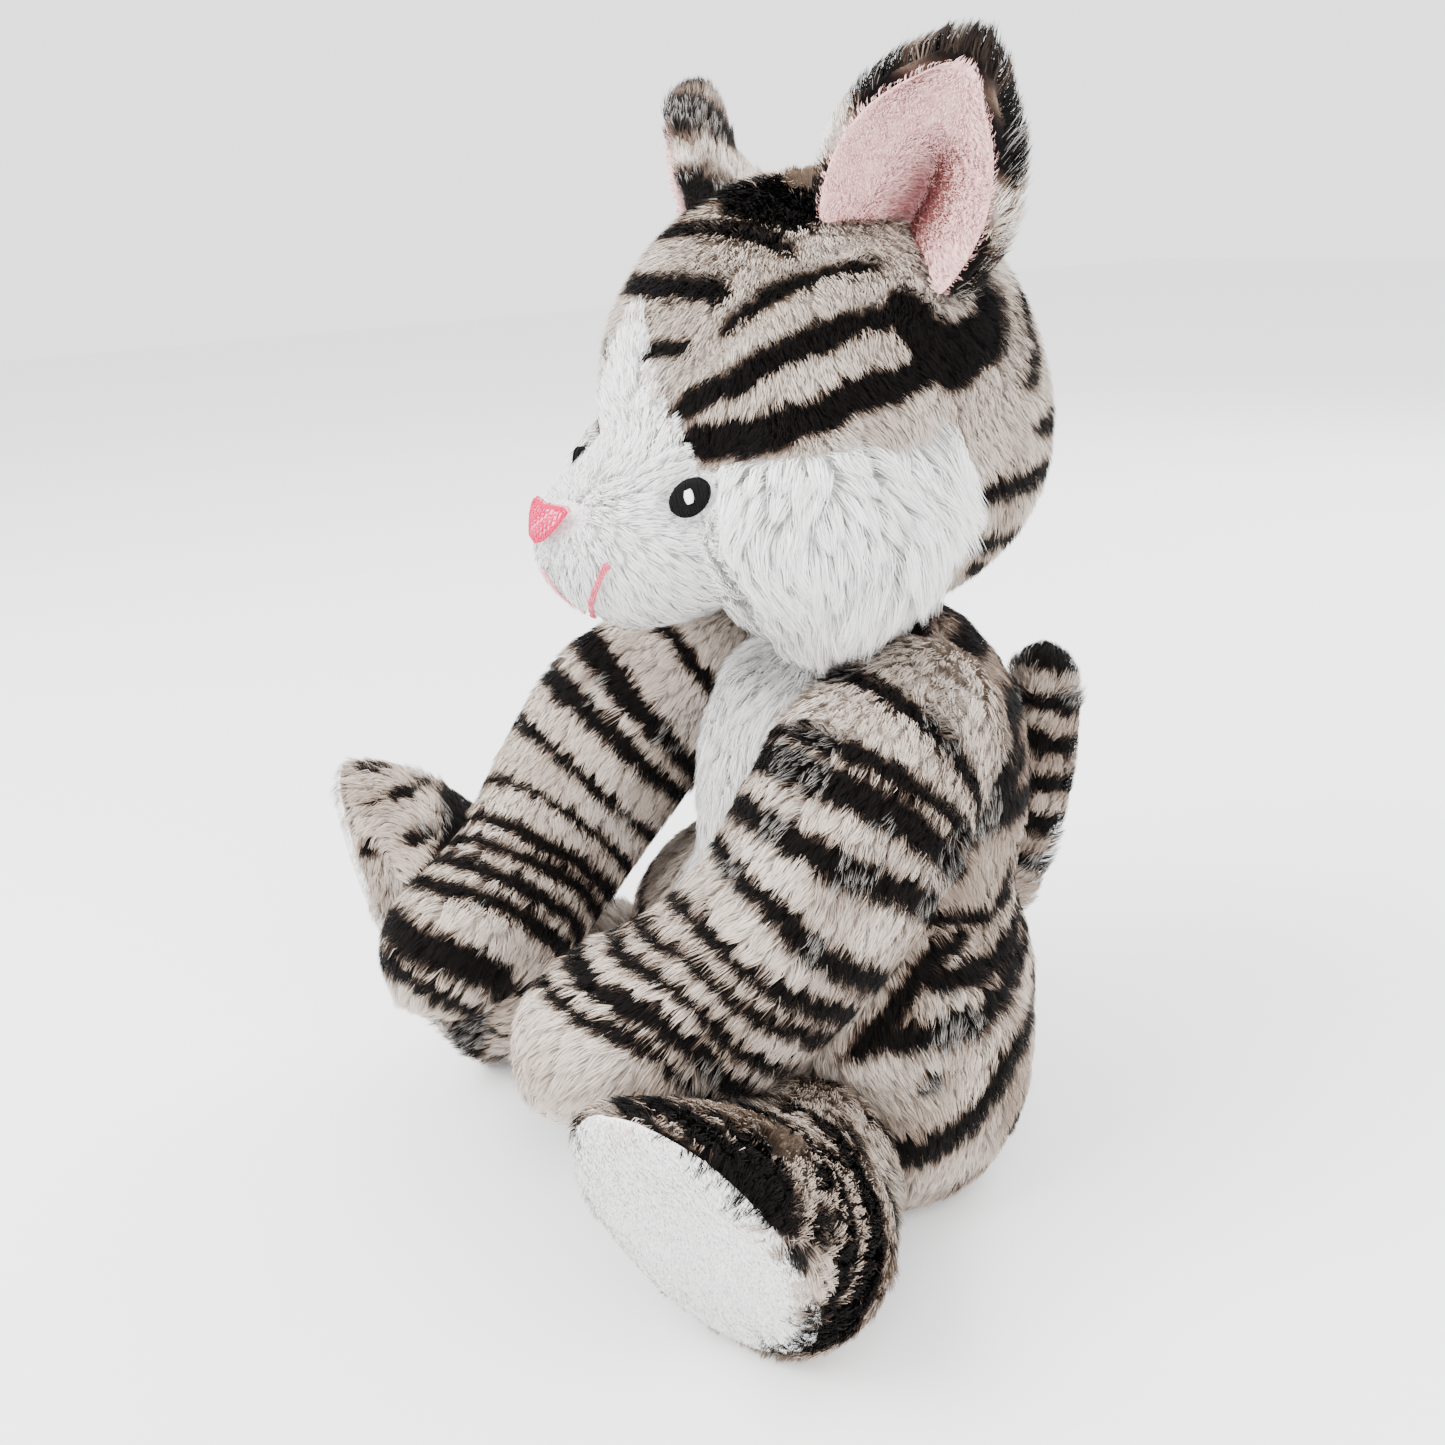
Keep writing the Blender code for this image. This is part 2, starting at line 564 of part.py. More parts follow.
def build_torso():
    torso_panel("belly_panel", negated(BELLY_HALF), BELLY_HALF, (13, 6), "white_fur")
    torso_panel("back_panel_left", BELLY_HALF, lambda r: 180.0, (17, 16), "stripe_fur")
    torso_panel("back_panel_right", lambda r: -180.0, negated(BELLY_HALF), (17, 16), "stripe_fur")
    around = np.arange(0.0, 360.0, 15.0)
    edge = SEAT_EDGE - 0.5
    rings = [torso_point(around, np.full_like(around, r), FABRIC) for r in (-80.0, -68.0, edge)]
    rings += [torso_point(around, np.full_like(around, r)) for r in (edge, -68.0, -80.0)]
    bottom = TORSO_CENTRE * np.array([1.0, 1.0, 0.0])
    points, faces = loft(rings, bottom + [0, 0, FABRIC], bottom)
    add_object("seat_panel", points, faces, "stripe_fur")
    rings = []
    for r in [*np.arange(-72.0, 73.0, 12.0), 80.0, 86.0]:
        rings.append(torso_point(around, np.full_like(around, r), FABRIC + FILL_GAP))
    low = bottom + [0, 0, FABRIC + FILL_GAP]
    high = torso_point(np.array([0.0]), np.array([89.9]), FABRIC + FILL_GAP)[0]
    points, faces = loft(rings, low, high)
    add_object("torso_filling", points, faces, "filling")


# ---------------------------------------------------------------- ears
EAR_ROOT_FRONT = np.array([31.0, -34.0, 281.0])
EAR_ROOT_REAR = np.array([60.0, -5.0, 259.0])
EAR_LEAN = np.array([0.10, -0.20, 0.97])


def clear_height(point, up):
    """How far up a point has to go to stand clear of the head."""
    height = -8.0
    while height < EAR_HEIGHT:
        away = point + up * height - HEAD_CENTRE
        reach = np.linalg.norm(away)
        if reach > lobed_radius(HEAD_CENTRE, away / reach, HEAD_LOBES) + EAR_GAP:
            break
        height += 0.5
    return height


def ear_grid(side, lift, shrink):
    """Cupped ear surface: rows from the root to the rim, columns from front to rear edge."""
    middle = (EAR_ROOT_FRONT + EAR_ROOT_REAR) / 2
    across = unit(EAR_ROOT_REAR - EAR_ROOT_FRONT)
    face = unit(np.cross(across, EAR_LEAN))
    up = unit(np.cross(face, across))
    rows, cols = 7, 7
    grid = np.zeros((rows, cols, 3))
    for j in range(cols):
        s = -1.0 + 2.0 * j / (cols - 1)
        foot = 0.0
        for i in range(rows):
            t = i / (rows - 1)
            outline = math.sqrt(1.0 - (t * 0.93) ** 3) * (0.82 + 0.72 * t * (1 - t))
            half = (EAR_HALF_WIDTH - shrink) * outline
            back = -EAR_CUP * (1 - s * s) * (1.0 - 0.55 * t)
            flat = middle + across * (s * half) + face * (back + lift)
            if i == 0:
                foot = clear_height(flat, up)
            top = (EAR_HEIGHT - shrink) * (1.0 - 0.10 * s * s)
            point = flat + up * (foot + (top - foot) * t)
            grid[i, j] = point if side > 0 else mirrored(point)
    return grid


def build_ears():
    for side, tag in ((1, "left"), (-1, "right")):
        middle = (EAR_ROOT_FRONT + EAR_ROOT_REAR) / 2
        origin = middle if side > 0 else mirrored(middle)
        points, faces = slab(ear_grid(side, -5.5, 0.0), ear_grid(side, -0.4, 0.0))
        add_object("ear_back_" + tag, points, faces, "stripe_fur", origin)
        points, faces = slab(ear_grid(side, 0.0, 3.0), ear_grid(side, 1.6, 3.5))
        add_object("ear_lining_" + tag, points, faces, "ear_pink", origin)


MATERIALS = {}


def main():
    for obj in list(bpy.context.scene.objects):
        bpy.data.objects.remove(obj, do_unlink=True)
    MATERIALS.update(
        stripe_fur=material("stripe_fur", (0.35, 0.31, 0.28)),
        white_fur=material("white_fur", (0.86, 0.83, 0.80)),
        cheek_fur=material("cheek_fur", (0.86, 0.85, 0.84)),
        sole_pile=material("sole_pile", (0.80, 0.77, 0.75)),
        ear_pink=material("ear_pink", (0.84, 0.60, 0.59)),
        eye_thread=material("eye_thread", (0.012, 0.012, 0.014), 0.45),
        white_thread=material("white_thread", (0.9, 0.9, 0.9), 0.45),
        nose_thread=material("nose_thread", (0.83, 0.20, 0.32), 0.5),
        mouth_thread=material("mouth_thread", (0.80, 0.38, 0.42), 0.5),
        filling=material("filling", (0.85, 0.85, 0.83)),
    )
    build_torso()
    build_head()
    build_face()
    build_legs()
    build_arms()
    build_tail()
    build_ears()


main()
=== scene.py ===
"""Looks of the seated plush cat: padded skins, combed pile, embroidered face, lined ears.

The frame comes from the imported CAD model: +Z up, the cat faces -Y, its left side is +X.
Lengths are written in millimetres and multiplied by MM, angles in degrees.
"""

import json
import math

import bpy
import numpy as np
from mathutils import Matrix, Vector
from mathutils.bvhtree import BVHTree
from mathutils.geometry import convex_hull_2d
from mathutils.kdtree import KDTree

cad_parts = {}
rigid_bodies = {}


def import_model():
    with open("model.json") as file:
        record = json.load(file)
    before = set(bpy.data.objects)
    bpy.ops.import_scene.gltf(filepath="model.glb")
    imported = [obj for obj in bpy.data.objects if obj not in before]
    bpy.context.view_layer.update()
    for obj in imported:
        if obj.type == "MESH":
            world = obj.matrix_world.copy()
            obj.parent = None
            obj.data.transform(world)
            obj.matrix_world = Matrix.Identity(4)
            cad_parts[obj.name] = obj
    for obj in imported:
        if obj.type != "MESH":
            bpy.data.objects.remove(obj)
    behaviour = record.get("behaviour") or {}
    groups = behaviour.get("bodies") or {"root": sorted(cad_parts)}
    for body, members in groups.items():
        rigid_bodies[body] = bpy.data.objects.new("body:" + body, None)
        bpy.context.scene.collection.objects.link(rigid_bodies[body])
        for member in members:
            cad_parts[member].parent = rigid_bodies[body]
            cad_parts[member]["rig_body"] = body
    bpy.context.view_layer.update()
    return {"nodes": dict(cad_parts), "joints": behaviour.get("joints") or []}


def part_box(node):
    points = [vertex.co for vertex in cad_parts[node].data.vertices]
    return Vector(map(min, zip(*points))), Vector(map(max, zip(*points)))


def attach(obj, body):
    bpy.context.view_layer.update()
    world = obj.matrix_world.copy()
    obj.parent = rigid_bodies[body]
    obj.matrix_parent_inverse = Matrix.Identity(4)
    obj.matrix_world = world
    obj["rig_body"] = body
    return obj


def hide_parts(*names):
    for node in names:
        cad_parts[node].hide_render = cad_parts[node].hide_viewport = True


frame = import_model()

MM = 0.001
NODES = frame["nodes"]
JOINTS = {j["name"]: j for j in frame["joints"]}


def joint_place(name):
    return np.array(JOINTS[name]["pos_m"], float)


HEAD_CENTRE = joint_place("neck_turn") + np.array([0.0, 5.0, 60.0]) * MM
TORSO_CENTRE = np.array([0.0, 0.0, 62.0]) * MM
HEAD_RADIUS = 65.0  # mean, for turning angles on the head into millimetres
TORSO_RADIUS = 62.0

# ---------------------------------------------------------------- pile: length, direction, density
FIBRES_PER_MM2 = 3.0
FIBRE_WIDTH = 0.3
BODY_PILE = 6.5
HEAD_PILE = 5.5
CHEEK_PILE = 11.5
BELLY_PILE = 9.5
WHITE_PILE = 6.5
EAR_PILE = 7.5
SOLE_PILE = 1.7
LINING_PILE = 2.2
CLUMP_SIZE = 3.4  # distance between the tufts that the pile gathers into
CHEEK_CLUMP = 3.8
FRINGE = 1.5  # how much longer the cheek pile hangs along its lower edge
MAX_FIBRES = 60000  # in one piece
FLOOR_GAP = 0.3  # between the resting surface and the lowest fibres

# Shades of the pile: where each colour sits on the palette, from black to white.
BLACK, BROWN, GREY, BEIGE, BELLY, WHITE = 0.03, 0.25, 0.45, 0.66, 0.93, 0.97
BACKING_CREAM = 0.85  # the knit under the belly pile
PALETTE = [  # (place, sRGB)
    (0.00, (9, 7, 7)),
    (0.12, (24, 19, 17)),
    (0.25, (66, 52, 44)),
    (0.40, (120, 101, 88)),
    (0.52, (160, 143, 129)),
    (0.66, (204, 189, 176)),
    (0.76, (222, 209, 198)),
    (0.85, (242, 234, 228)),
    (0.92, (251, 249, 247)),
    (1.00, (255, 254, 253)),
]


def linear(rgb):
    """sRGB from 0 to 255 as linear light."""
    c = np.array(rgb, float) / 255.0
    return tuple(np.where(c <= 0.04045, c / 12.92, ((c + 0.055) / 1.055) ** 2.4))


def unit(v):
    v = np.asarray(v, float)
    return v / np.maximum(np.linalg.norm(v, axis=-1, keepdims=True), 1e-12)


def flattened(v, normal):
    """The part of each vector that lies in the surface, at unit length."""
    v = np.broadcast_to(v, normal.shape)
    return unit(v - normal * (v * normal).sum(-1, keepdims=True))


# ---------------------------------------------------------------- smooth noise
WAVES = 6  # added up in one noise


def waves(p, size, seed):
    """Smooth noise from about -1 to 1 over points in metres; size is the wavelength in mm."""
    rng = np.random.default_rng(seed)
    total = np.zeros(len(p))
    for _ in range(WAVES):
        way = unit(rng.normal(size=3)) * 2 * math.pi / (size * MM * rng.uniform(0.7, 1.4))
        total += np.sin(p @ way + rng.uniform(0, 2 * math.pi))
    return total / math.sqrt(WAVES)


# ---------------------------------------------------------------- meshes
def add_mesh(name, points, faces, mat):
    mesh = bpy.data.meshes.new(name)
    mesh.from_pydata([tuple(p) for p in points], [], [tuple(f) for f in faces])
    mesh.polygons.foreach_set("use_smooth", [True] * len(mesh.polygons))
    obj = bpy.data.objects.new(name, mesh)
    bpy.context.scene.collection.objects.link(obj)
    mesh.materials.append(mat)
    mesh.update()
    return obj


def places(obj):
    co = np.empty(len(obj.data.vertices) * 3)
    obj.data.vertices.foreach_get("co", co)
    return co.reshape(-1, 3)


def normals(obj):
    no = np.empty(len(obj.data.vertices) * 3)
    obj.data.vertex_normals.foreach_get("vector", no)
    return no.reshape(-1, 3)


def triangles(obj):
    obj.data.calc_loop_triangles()
    tris = np.empty(len(obj.data.loop_triangles) * 3, np.int32)
    obj.data.loop_triangles.foreach_get("vertices", tris)
    return tris.reshape(-1, 3)


def put(obj, co):
    obj.data.vertices.foreach_set("co", np.asarray(co, float).ravel())
    obj.data.update()


def tree(*objs):
    """One search tree over several meshes."""
    points, faces = [], []
    for obj in objs:
        start = len(points)
        points += [tuple(p) for p in places(obj)]
        faces += [tuple(int(i) + start for i in t) for t in triangles(obj)]
    return BVHTree.FromPolygons(points, faces)


def applied(obj):
    """Replaces an object's mesh by the one its modifiers make."""
    graph = bpy.context.evaluated_depsgraph_get()
    made = bpy.data.meshes.new_from_object(obj.evaluated_get(graph), depsgraph=graph)
    obj.modifiers.clear()
    obj.data = made
    made.polygons.foreach_set("use_smooth", [True] * len(made.polygons))
    made.update()
    return obj


def with_modifier(obj, kind, **settings):
    modifier = obj.modifiers.new(kind.lower(), kind)
    for key, value in settings.items():
        setattr(modifier, key, value)
    return applied(obj)


def relaxed(obj, times):
    return with_modifier(obj, "SMOOTH", iterations=times, factor=0.5)


# ---------------------------------------------------------------- padded skins
def cushion(obj, body, fill, *nodes):
    """A padded piece that rides on a body and stands for some nodes, which are hidden."""
    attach(obj, body)
    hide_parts(*nodes)


def copied(name, node_name, mat):
    """The mesh of a CAD node, with its loose corners joined."""
    obj = add_mesh(name, places(NODES[node_name]), triangles(NODES[node_name]), mat)
    return with_modifier(obj, "WELD", merge_threshold=0.05 * MM)


BALL_LEVEL = 6  # how often the ball that looks in at the panels is divided


def wrapped(name, nodes, centre, mat, sink=0.0):
    """A closed skin over several sewn panels, found by looking in towards a centre."""
    panels = tree(*[NODES[n] for n in nodes])
    bpy.ops.mesh.primitive_ico_sphere_add(subdivisions=BALL_LEVEL, radius=1.0)
    ball = bpy.context.active_object
    along = unit(places(ball))
    faces = [tuple(p.vertices) for p in ball.data.polygons]
    bpy.data.objects.remove(ball)
    far = 0.3
    reach = np.full(len(along), np.nan)
    for i, way in enumerate(along):
        hit = panels.ray_cast(Vector(centre + way * far), Vector(-way))
        if hit[0] is not None and far - hit[3] > 20.0 * MM:
            reach[i] = far - hit[3]
    obj = add_mesh(name, along, faces, mat)
    edges = np.array([tuple(e.vertices) for e in obj.data.edges])
    missing = np.isnan(reach)
    reach[missing] = np.nanmean(reach)
    for _ in range(60):
        mean = neighbour_mean(reach, edges)
        reach[missing] = mean[missing]
    put(obj, centre + along * (reach - sink * MM)[:, None])
    return obj


def neighbour_mean(values, edges):
    total = np.zeros_like(values)
    count = np.zeros(len(values))
    for a, b in ((0, 1), (1, 0)):
        np.add.at(total, edges[:, a], values[edges[:, b]])
        np.add.at(count, edges[:, a], 1.0)
    return total / (count if total.ndim == 1 else count[:, None])


def grown(name, node, grow, mat, voxel=3.5, smooth=4):
    """A closed skin a little outside one filling."""
    obj = copied(name, node, mat)
    put(obj, places(obj) + normals(obj) * grow * MM)
    with_modifier(obj, "REMESH", mode="VOXEL", voxel_size=voxel * MM, use_smooth_shade=True)
    return relaxed(obj, smooth)


AIR_PRESSURE = 4.0
PUFF_FRAMES = 16


def puffed(obj, held, cap):
    """Swells a skin with air; held is 1 where a seam keeps it, and no point moves further than cap."""
    start = places(obj)
    group = obj.vertex_groups.new(name="seams")
    for i, weight in enumerate(held):
        if weight > 0.02:
            group.add([i], float(weight), "REPLACE")
    cloth = obj.modifiers.new("cloth", "CLOTH")
    settings = cloth.settings
    settings.quality = 4
    settings.mass = 0.3
    settings.tension_stiffness = 12.0
    settings.compression_stiffness = 12.0
    settings.bending_stiffness = 0.4
    settings.use_pressure = True
    settings.uniform_pressure_force = AIR_PRESSURE
    settings.vertex_group_mass = "seams"
    settings.effector_weights.gravity = 0.0
    cloth.point_cache.frame_start = 1
    cloth.point_cache.frame_end = PUFF_FRAMES
    scene = bpy.context.scene
    for number in range(1, PUFF_FRAMES + 1):
        scene.frame_set(number)
    graph = bpy.context.evaluated_depsgraph_get()
    made = obj.evaluated_get(graph).to_mesh()
    end = np.empty(len(made.vertices) * 3)
    made.vertices.foreach_get("co", end)
    obj.modifiers.clear()
    scene.frame_set(1)
    move = end.reshape(-1, 3) - start
    size = np.linalg.norm(move, axis=1, keepdims=True)
    put(obj, start + move * np.minimum(1.0, cap * MM / np.maximum(size, 1e-9)))
    obj.vertex_groups.clear()
    return obj


# ---------------------------------------------------------------- materials
def new_material(name, roughness, sheen=0.0, specular=0.3):
    mat = bpy.data.materials.new(name)
    mat.use_nodes = True
    shader = mat.node_tree.nodes["Principled BSDF"]
    shader.inputs["Roughness"].default_value = roughness
    shader.inputs["Metallic"].default_value = 0.0
    shader.inputs["Specular IOR Level"].default_value = specular
    shader.inputs["Sheen Weight"].default_value = sheen
    shader.inputs["Sheen Roughness"].default_value = 0.5
    return mat, mat.node_tree, shader


def node(nt, kind, **inputs):
    made = nt.nodes.new("ShaderNode" + kind)
    for key, value in inputs.items():
        if hasattr(made, key):
            setattr(made, key, value)
        else:
            made.inputs[key].default_value = value
    return made


def math_node(nt, operation, a, b=None):
    made = node(nt, "Math", operation=operation)
    for socket, value in zip(made.inputs, (a, b)):
        if value is None:
            continue
        if isinstance(value, (int, float)):
            socket.default_value = value
        else:
            nt.links.new(value, socket)
    return made.outputs[0]


def ramp(nt, factor, stops):
    made = node(nt, "ValToRGB")
    points = made.color_ramp.elements
    while len(points) < len(stops):
        points.new(0.5)
    for point, (place, colour) in zip(points, stops):
        point.position = place
        point.color = (*colour, 1.0)
    nt.links.new(factor, made.inputs["Fac"])
    return made.outputs["Color"]


def mixed(nt, factor, a, b, blend="MIX"):
    made = nt.nodes.new("ShaderNodeMix")
    made.data_type = "RGBA"
    made.blend_type = blend
    sockets = [s for s in made.inputs if s.enabled]
    for socket, value in zip(sockets, (factor, a, b)):
        if isinstance(value, (int, float)):
            socket.default_value = value
        elif isinstance(value, tuple):
            socket.default_value = (*value, 1.0)
        else:
            nt.links.new(value, socket)
    return [s for s in made.outputs if s.enabled][0]


def grey(value):
    return (value, value, value)


def bumped(nt, shader, height, strength, depth):
    bump = node(nt, "Bump", Strength=strength, Distance=depth)
    nt.links.new(height, bump.inputs["Height"])
    nt.links.new(bump.outputs["Normal"], shader.inputs["Normal"])


def pile_material(name, palette, tips):
    """Fibres: the map runs across the palette by shade and along the fibre from root to tip."""
    mat, nt, shader = new_material(name, 0.85, sheen=0.02, specular=0.08)
    spot = node(nt, "UVMap", uv_map="OFBake")
    split = node(nt, "SeparateXYZ")
    nt.links.new(spot.outputs[0], split.inputs[0])
    colour = ramp(nt, split.outputs["X"], [(place, linear(rgb)) for place, rgb in palette])
    doubled = math_node(nt, "MULTIPLY", split.outputs["Y"], 2.0)
    frosted = math_node(nt, "GREATER_THAN", split.outputs["Y"], 0.5)
    along = math_node(nt, "FRACT", doubled)
    # Painted shade deep in the pile: every fibre is darkened towards its root.
    depth = ramp(nt, along, [(0.0, grey(0.72)), (0.35, grey(0.92)), (1.0, grey(1.0))])
    shaded = mixed(nt, 1.0, colour, depth, "MULTIPLY")
    tip = math_node(nt, "MULTIPLY", math_node(nt, "POWER", along, 3.5), frosted)
    bright = mixed(nt, tip, shaded, linear(tips))
    nt.links.new(bright, shader.inputs["Base Color"])
    return mat


def backing_material(name):
    """The knitted backing under the pile, in the same shade as the fibres above it."""
    mat, nt, shader = new_material(name, 0.95, sheen=0.1, specular=0.1)
    shade = node(nt, "Attribute", attribute_name="shade")
    colour = ramp(nt, shade.outputs["Fac"], [(place, linear(rgb)) for place, rgb in PALETTE])
    spot = node(nt, "TexCoord")
    knit = node(nt, "TexNoise", Scale=900.0, Detail=2.0)
    nt.links.new(spot.outputs["Object"], knit.inputs["Vector"])
    dark = ramp(nt, knit.outputs["Fac"], [(0.3, grey(0.5)), (0.7, grey(0.85))])
    nt.links.new(mixed(nt, 1.0, colour, dark, "MULTIPLY"), shader.inputs["Base Color"])
    bumped(nt, shader, knit.outputs["Fac"], 0.5, 0.6 * MM)
    return mat


def plush_material(name, dark, light):
    """Short dense pile in one colour, mottled by the way it lies."""
    mat, nt, shader = new_material(name, 0.85, sheen=0.4, specular=0.15)
    spot = node(nt, "TexCoord")
    fine = node(nt, "TexNoise", Scale=420.0, Detail=4.0)
    broad = node(nt, "TexNoise", Scale=45.0, Detail=3.0)
    for noise in (fine, broad):
        nt.links.new(spot.outputs["Object"], noise.inputs["Vector"])
    both = math_node(nt, "MULTIPLY_ADD", fine.outputs["Fac"], 0.6)
    nt.links.new(math_node(nt, "MULTIPLY", broad.outputs["Fac"], 0.4), both.node.inputs[2])
    nt.links.new(ramp(nt, both, [(0.32, linear(dark)), (0.66, linear(light))]), shader.inputs["Base Color"])
    bumped(nt, shader, fine.outputs["Fac"], 0.6, 0.8 * MM)
    return mat


def thread_material(name, dark, light):
    """Embroidery thread: a soft lustre, with a twist that shows as fine bands."""
    mat, nt, shader = new_material(name, 0.6, specular=0.12)
    spot = node(nt, "TexCoord")
    twist = node(nt, "TexWave", Scale=420.0, Distortion=2.0, Detail=2.0)
    nt.links.new(spot.outputs["Object"], twist.inputs["Vector"])
    colour = ramp(nt, twist.outputs["Fac"], [(0.2, linear(dark)), (0.8, linear(light))])
    nt.links.new(colour, shader.inputs["Base Color"])
    bumped(nt, shader, twist.outputs["Fac"], 0.35, 0.3 * MM)
    return mat


PILE = pile_material("pile_fibres", PALETTE, (226, 219, 212))
# The dark end of the pink palette shows the painted shade in the ears' pleats.
PINK_PILE = pile_material("minky_fibres", [(0.0, (190, 128, 130)), (1.0, (250, 208, 204))], (255, 232, 228))
BACKING = backing_material("knit_backing")
SOLE = plush_material("sole_fabric", (214, 209, 206), (246, 243, 241))
LINING = plush_material("lining_fabric", (200, 146, 146), (244, 202, 198))
EYE_THREAD = thread_material("eye_satin_stitch", (2, 2, 3), (7, 7, 9))
GLINT_THREAD = thread_material("glint_satin_stitch", (244, 244, 244), (255, 255, 255))
NOSE_PAD = thread_material("nose_pad_stitch", (236, 118, 152), (248, 158, 184))
NOSE_FILL = thread_material("nose_fill_stitch", (196, 16, 72), (222, 56, 108))
NOSE_EDGE = thread_material("nose_edge_stitch", (184, 8, 58), (212, 36, 88))
MOUTH_THREAD = thread_material("mouth_stitch_thread", (196, 66, 92), (222, 104, 126))
PHILTRUM_THREAD = thread_material("philtrum_stitch_thread", (222, 140, 150), (240, 176, 182))


# ---------------------------------------------------------------- fibres
def scattered(obj, per_mm2, rng, keep=None):
    """Points spread evenly over a mesh, with their surface normals."""
    co, no, tris = places(obj), normals(obj), triangles(obj)
    if keep is not None:
        tris = tris[keep[tris].all(axis=1)]
    a, b, c = co[tris[:, 0]], co[tris[:, 1]], co[tris[:, 2]]
    area = np.linalg.norm(np.cross(b - a, c - a), axis=1) / 2
    count = int(area.sum() / MM**2 * per_mm2)
    pick = rng.choice(len(tris), count, p=area / area.sum())
    s, t = rng.random(count), rng.random(count)
    flip = s + t > 1
    s[flip], t[flip] = 1 - s[flip], 1 - t[flip]
    weights = np.stack([1 - s - t, s, t], -1)[..., None]
    corner = tris[pick]
    return (co[corner] * weights).sum(1), unit((no[corner] * weights).sum(1))


def gathered(root, ends, amount, spacing, rng):
    """Pulls fibre ends towards the nearest tuft's own end, so that the pile lies in tufts."""
    count = max(2, int(len(root) * MM**2 / (spacing * MM) ** 2 / FIBRES_PER_MM2))
    chosen = rng.choice(len(root), min(count, len(root)), replace=False)
    tufts = KDTree(len(chosen))
    for i, index in enumerate(chosen):
        tufts.insert(Vector(root[index]), i)
    tufts.balance()
    nearest = np.array([tufts.find(Vector(p))[1] for p in root])
    lead = chosen[nearest]
    return [end + (end[lead] - end) * share for end, share in zip(ends, amount)]


def pile(name, body, root, normal, comb, shade, length, rng, lean=(42.0, 80.0), width=FIBRE_WIDTH,
         frost=None, clump=0.45, spacing=None, mat=None):
    """Adds fibres as narrow tapering blades, in pieces that ride on one body.

    The shade is one for each fibre, or a function read near the fibres' tips, where the print is.
    """
    count = len(root)
    length = np.broadcast_to(length, count) * rng.uniform(0.75, 1.15, count) * MM
    turn = rng.normal(0.0, 0.16, count)[:, None]
    across = np.cross(normal, comb)
    comb = unit(comb * np.cos(turn) + across * np.sin(turn))
    across = np.cross(normal, comb)
    low = np.radians(lean[0] + rng.normal(0, 7.0, count))[:, None]
    high = np.radians(lean[1] + rng.normal(0, 7.0, count))[:, None]
    spacing = CLUMP_SIZE if spacing is None else spacing
    half = length[:, None] / 2
    middle = root + (normal * np.cos(low) + comb * np.sin(low)) * half
    tip = middle + (normal * np.cos(high) + comb * np.sin(high)) * half
    middle, tip = gathered(root, (middle, tip), (clump * 0.4, clump), spacing, rng)
    if callable(shade):
        shade = shade(root * 0.35 + tip * 0.65)
    roll = rng.normal(0.0, 0.5, count)[:, None]
    side = (across * np.cos(roll) + normal * np.sin(roll)) * width * MM / 2
    start = root - normal * 0.3 * MM
    points = np.stack([start + side, start - side, middle + side * 0.85, middle - side * 0.85, tip], 1)
    points[..., 2] = np.maximum(points[..., 2], FLOOR_GAP * MM)
    facing = unit(normal * 0.8 + comb * 0.25 + rng.normal(0, 0.16, (count, 3)))
    shade = np.clip(shade + rng.normal(0, 0.02, count), 0.01, 0.99)
    row = np.zeros(count) if frost is None else frost * 0.5
    parts = max(1, math.ceil(count / MAX_FIBRES))
    order = rng.permutation(count)
    for part in range(parts):
        chosen = order[part::parts]
        label = name if parts == 1 else f"{name}_{part + 1}"
        obj = blades(label, points[chosen], facing[chosen], shade[chosen], row[chosen], mat or PILE)
        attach(obj, body)


def blades(name, points, facing, shade, row, mat):
    """A mesh of blades with five points each: two at the root, two half way and the tip."""
    count = len(points)
    mesh = bpy.data.meshes.new(name)
    mesh.vertices.add(count * 5)
    mesh.vertices.foreach_set("co", points.ravel())
    start = np.arange(count)[:, None] * 5
    loops = (start + np.array([0, 1, 3, 2, 2, 3, 4])).ravel()
    mesh.loops.add(len(loops))
    mesh.loops.foreach_set("vertex_index", loops)
    mesh.polygons.add(count * 2)
    mesh.polygons.foreach_set("loop_start", (np.arange(count)[:, None] * 7 + np.array([0, 4])).ravel())
    mesh.polygons.foreach_set("use_smooth", np.ones(count * 2, bool))
    mesh.materials.append(mat)
    mesh.update(calc_edges=True)
    mesh.validate()
    layer = mesh.uv_layers.new(name="OFBake")
    across = np.array([-1, 1, 1, -1, -1, 1, 0]) * 0.004
    along = np.array([0.02, 0.02, 0.5, 0.5, 0.5, 0.5, 0.98]) * 0.48
    uv = np.empty((count, 7, 2))
    uv[..., 0] = shade[:, None] + across
    uv[..., 1] = row[:, None] + along + 0.005
    layer.data.foreach_set("uv", uv.ravel())
    mesh.normals_split_custom_set_from_vertices(np.repeat(facing, 5, axis=0))
    obj = bpy.data.objects.new(name, mesh)
    bpy.context.scene.collection.objects.link(obj)
    return obj


# ---------------------------------------------------------------- embroidery
def course(name, count=24):
    """The middle line of a stitched line's node, from one end to the other, as points on its face."""
    co = places(NODES[name])
    centre = co.mean(0)
    along = np.linalg.svd(co - centre, full_matrices=False)[2][0]
    share = (co - centre) @ along
    cuts = np.linspace(share.min(), share.max(), 9)
    line = [co[(share >= low) & (share <= high)].mean(0) for low, high in zip(cuts[:-1], cuts[1:])
            if ((share >= low) & (share <= high)).any()]
    ends = [co[share.argmin()], co[share.argmax()]]
    return dense([ends[0], *line, ends[1]], count)


THREAD_SIDES = 6


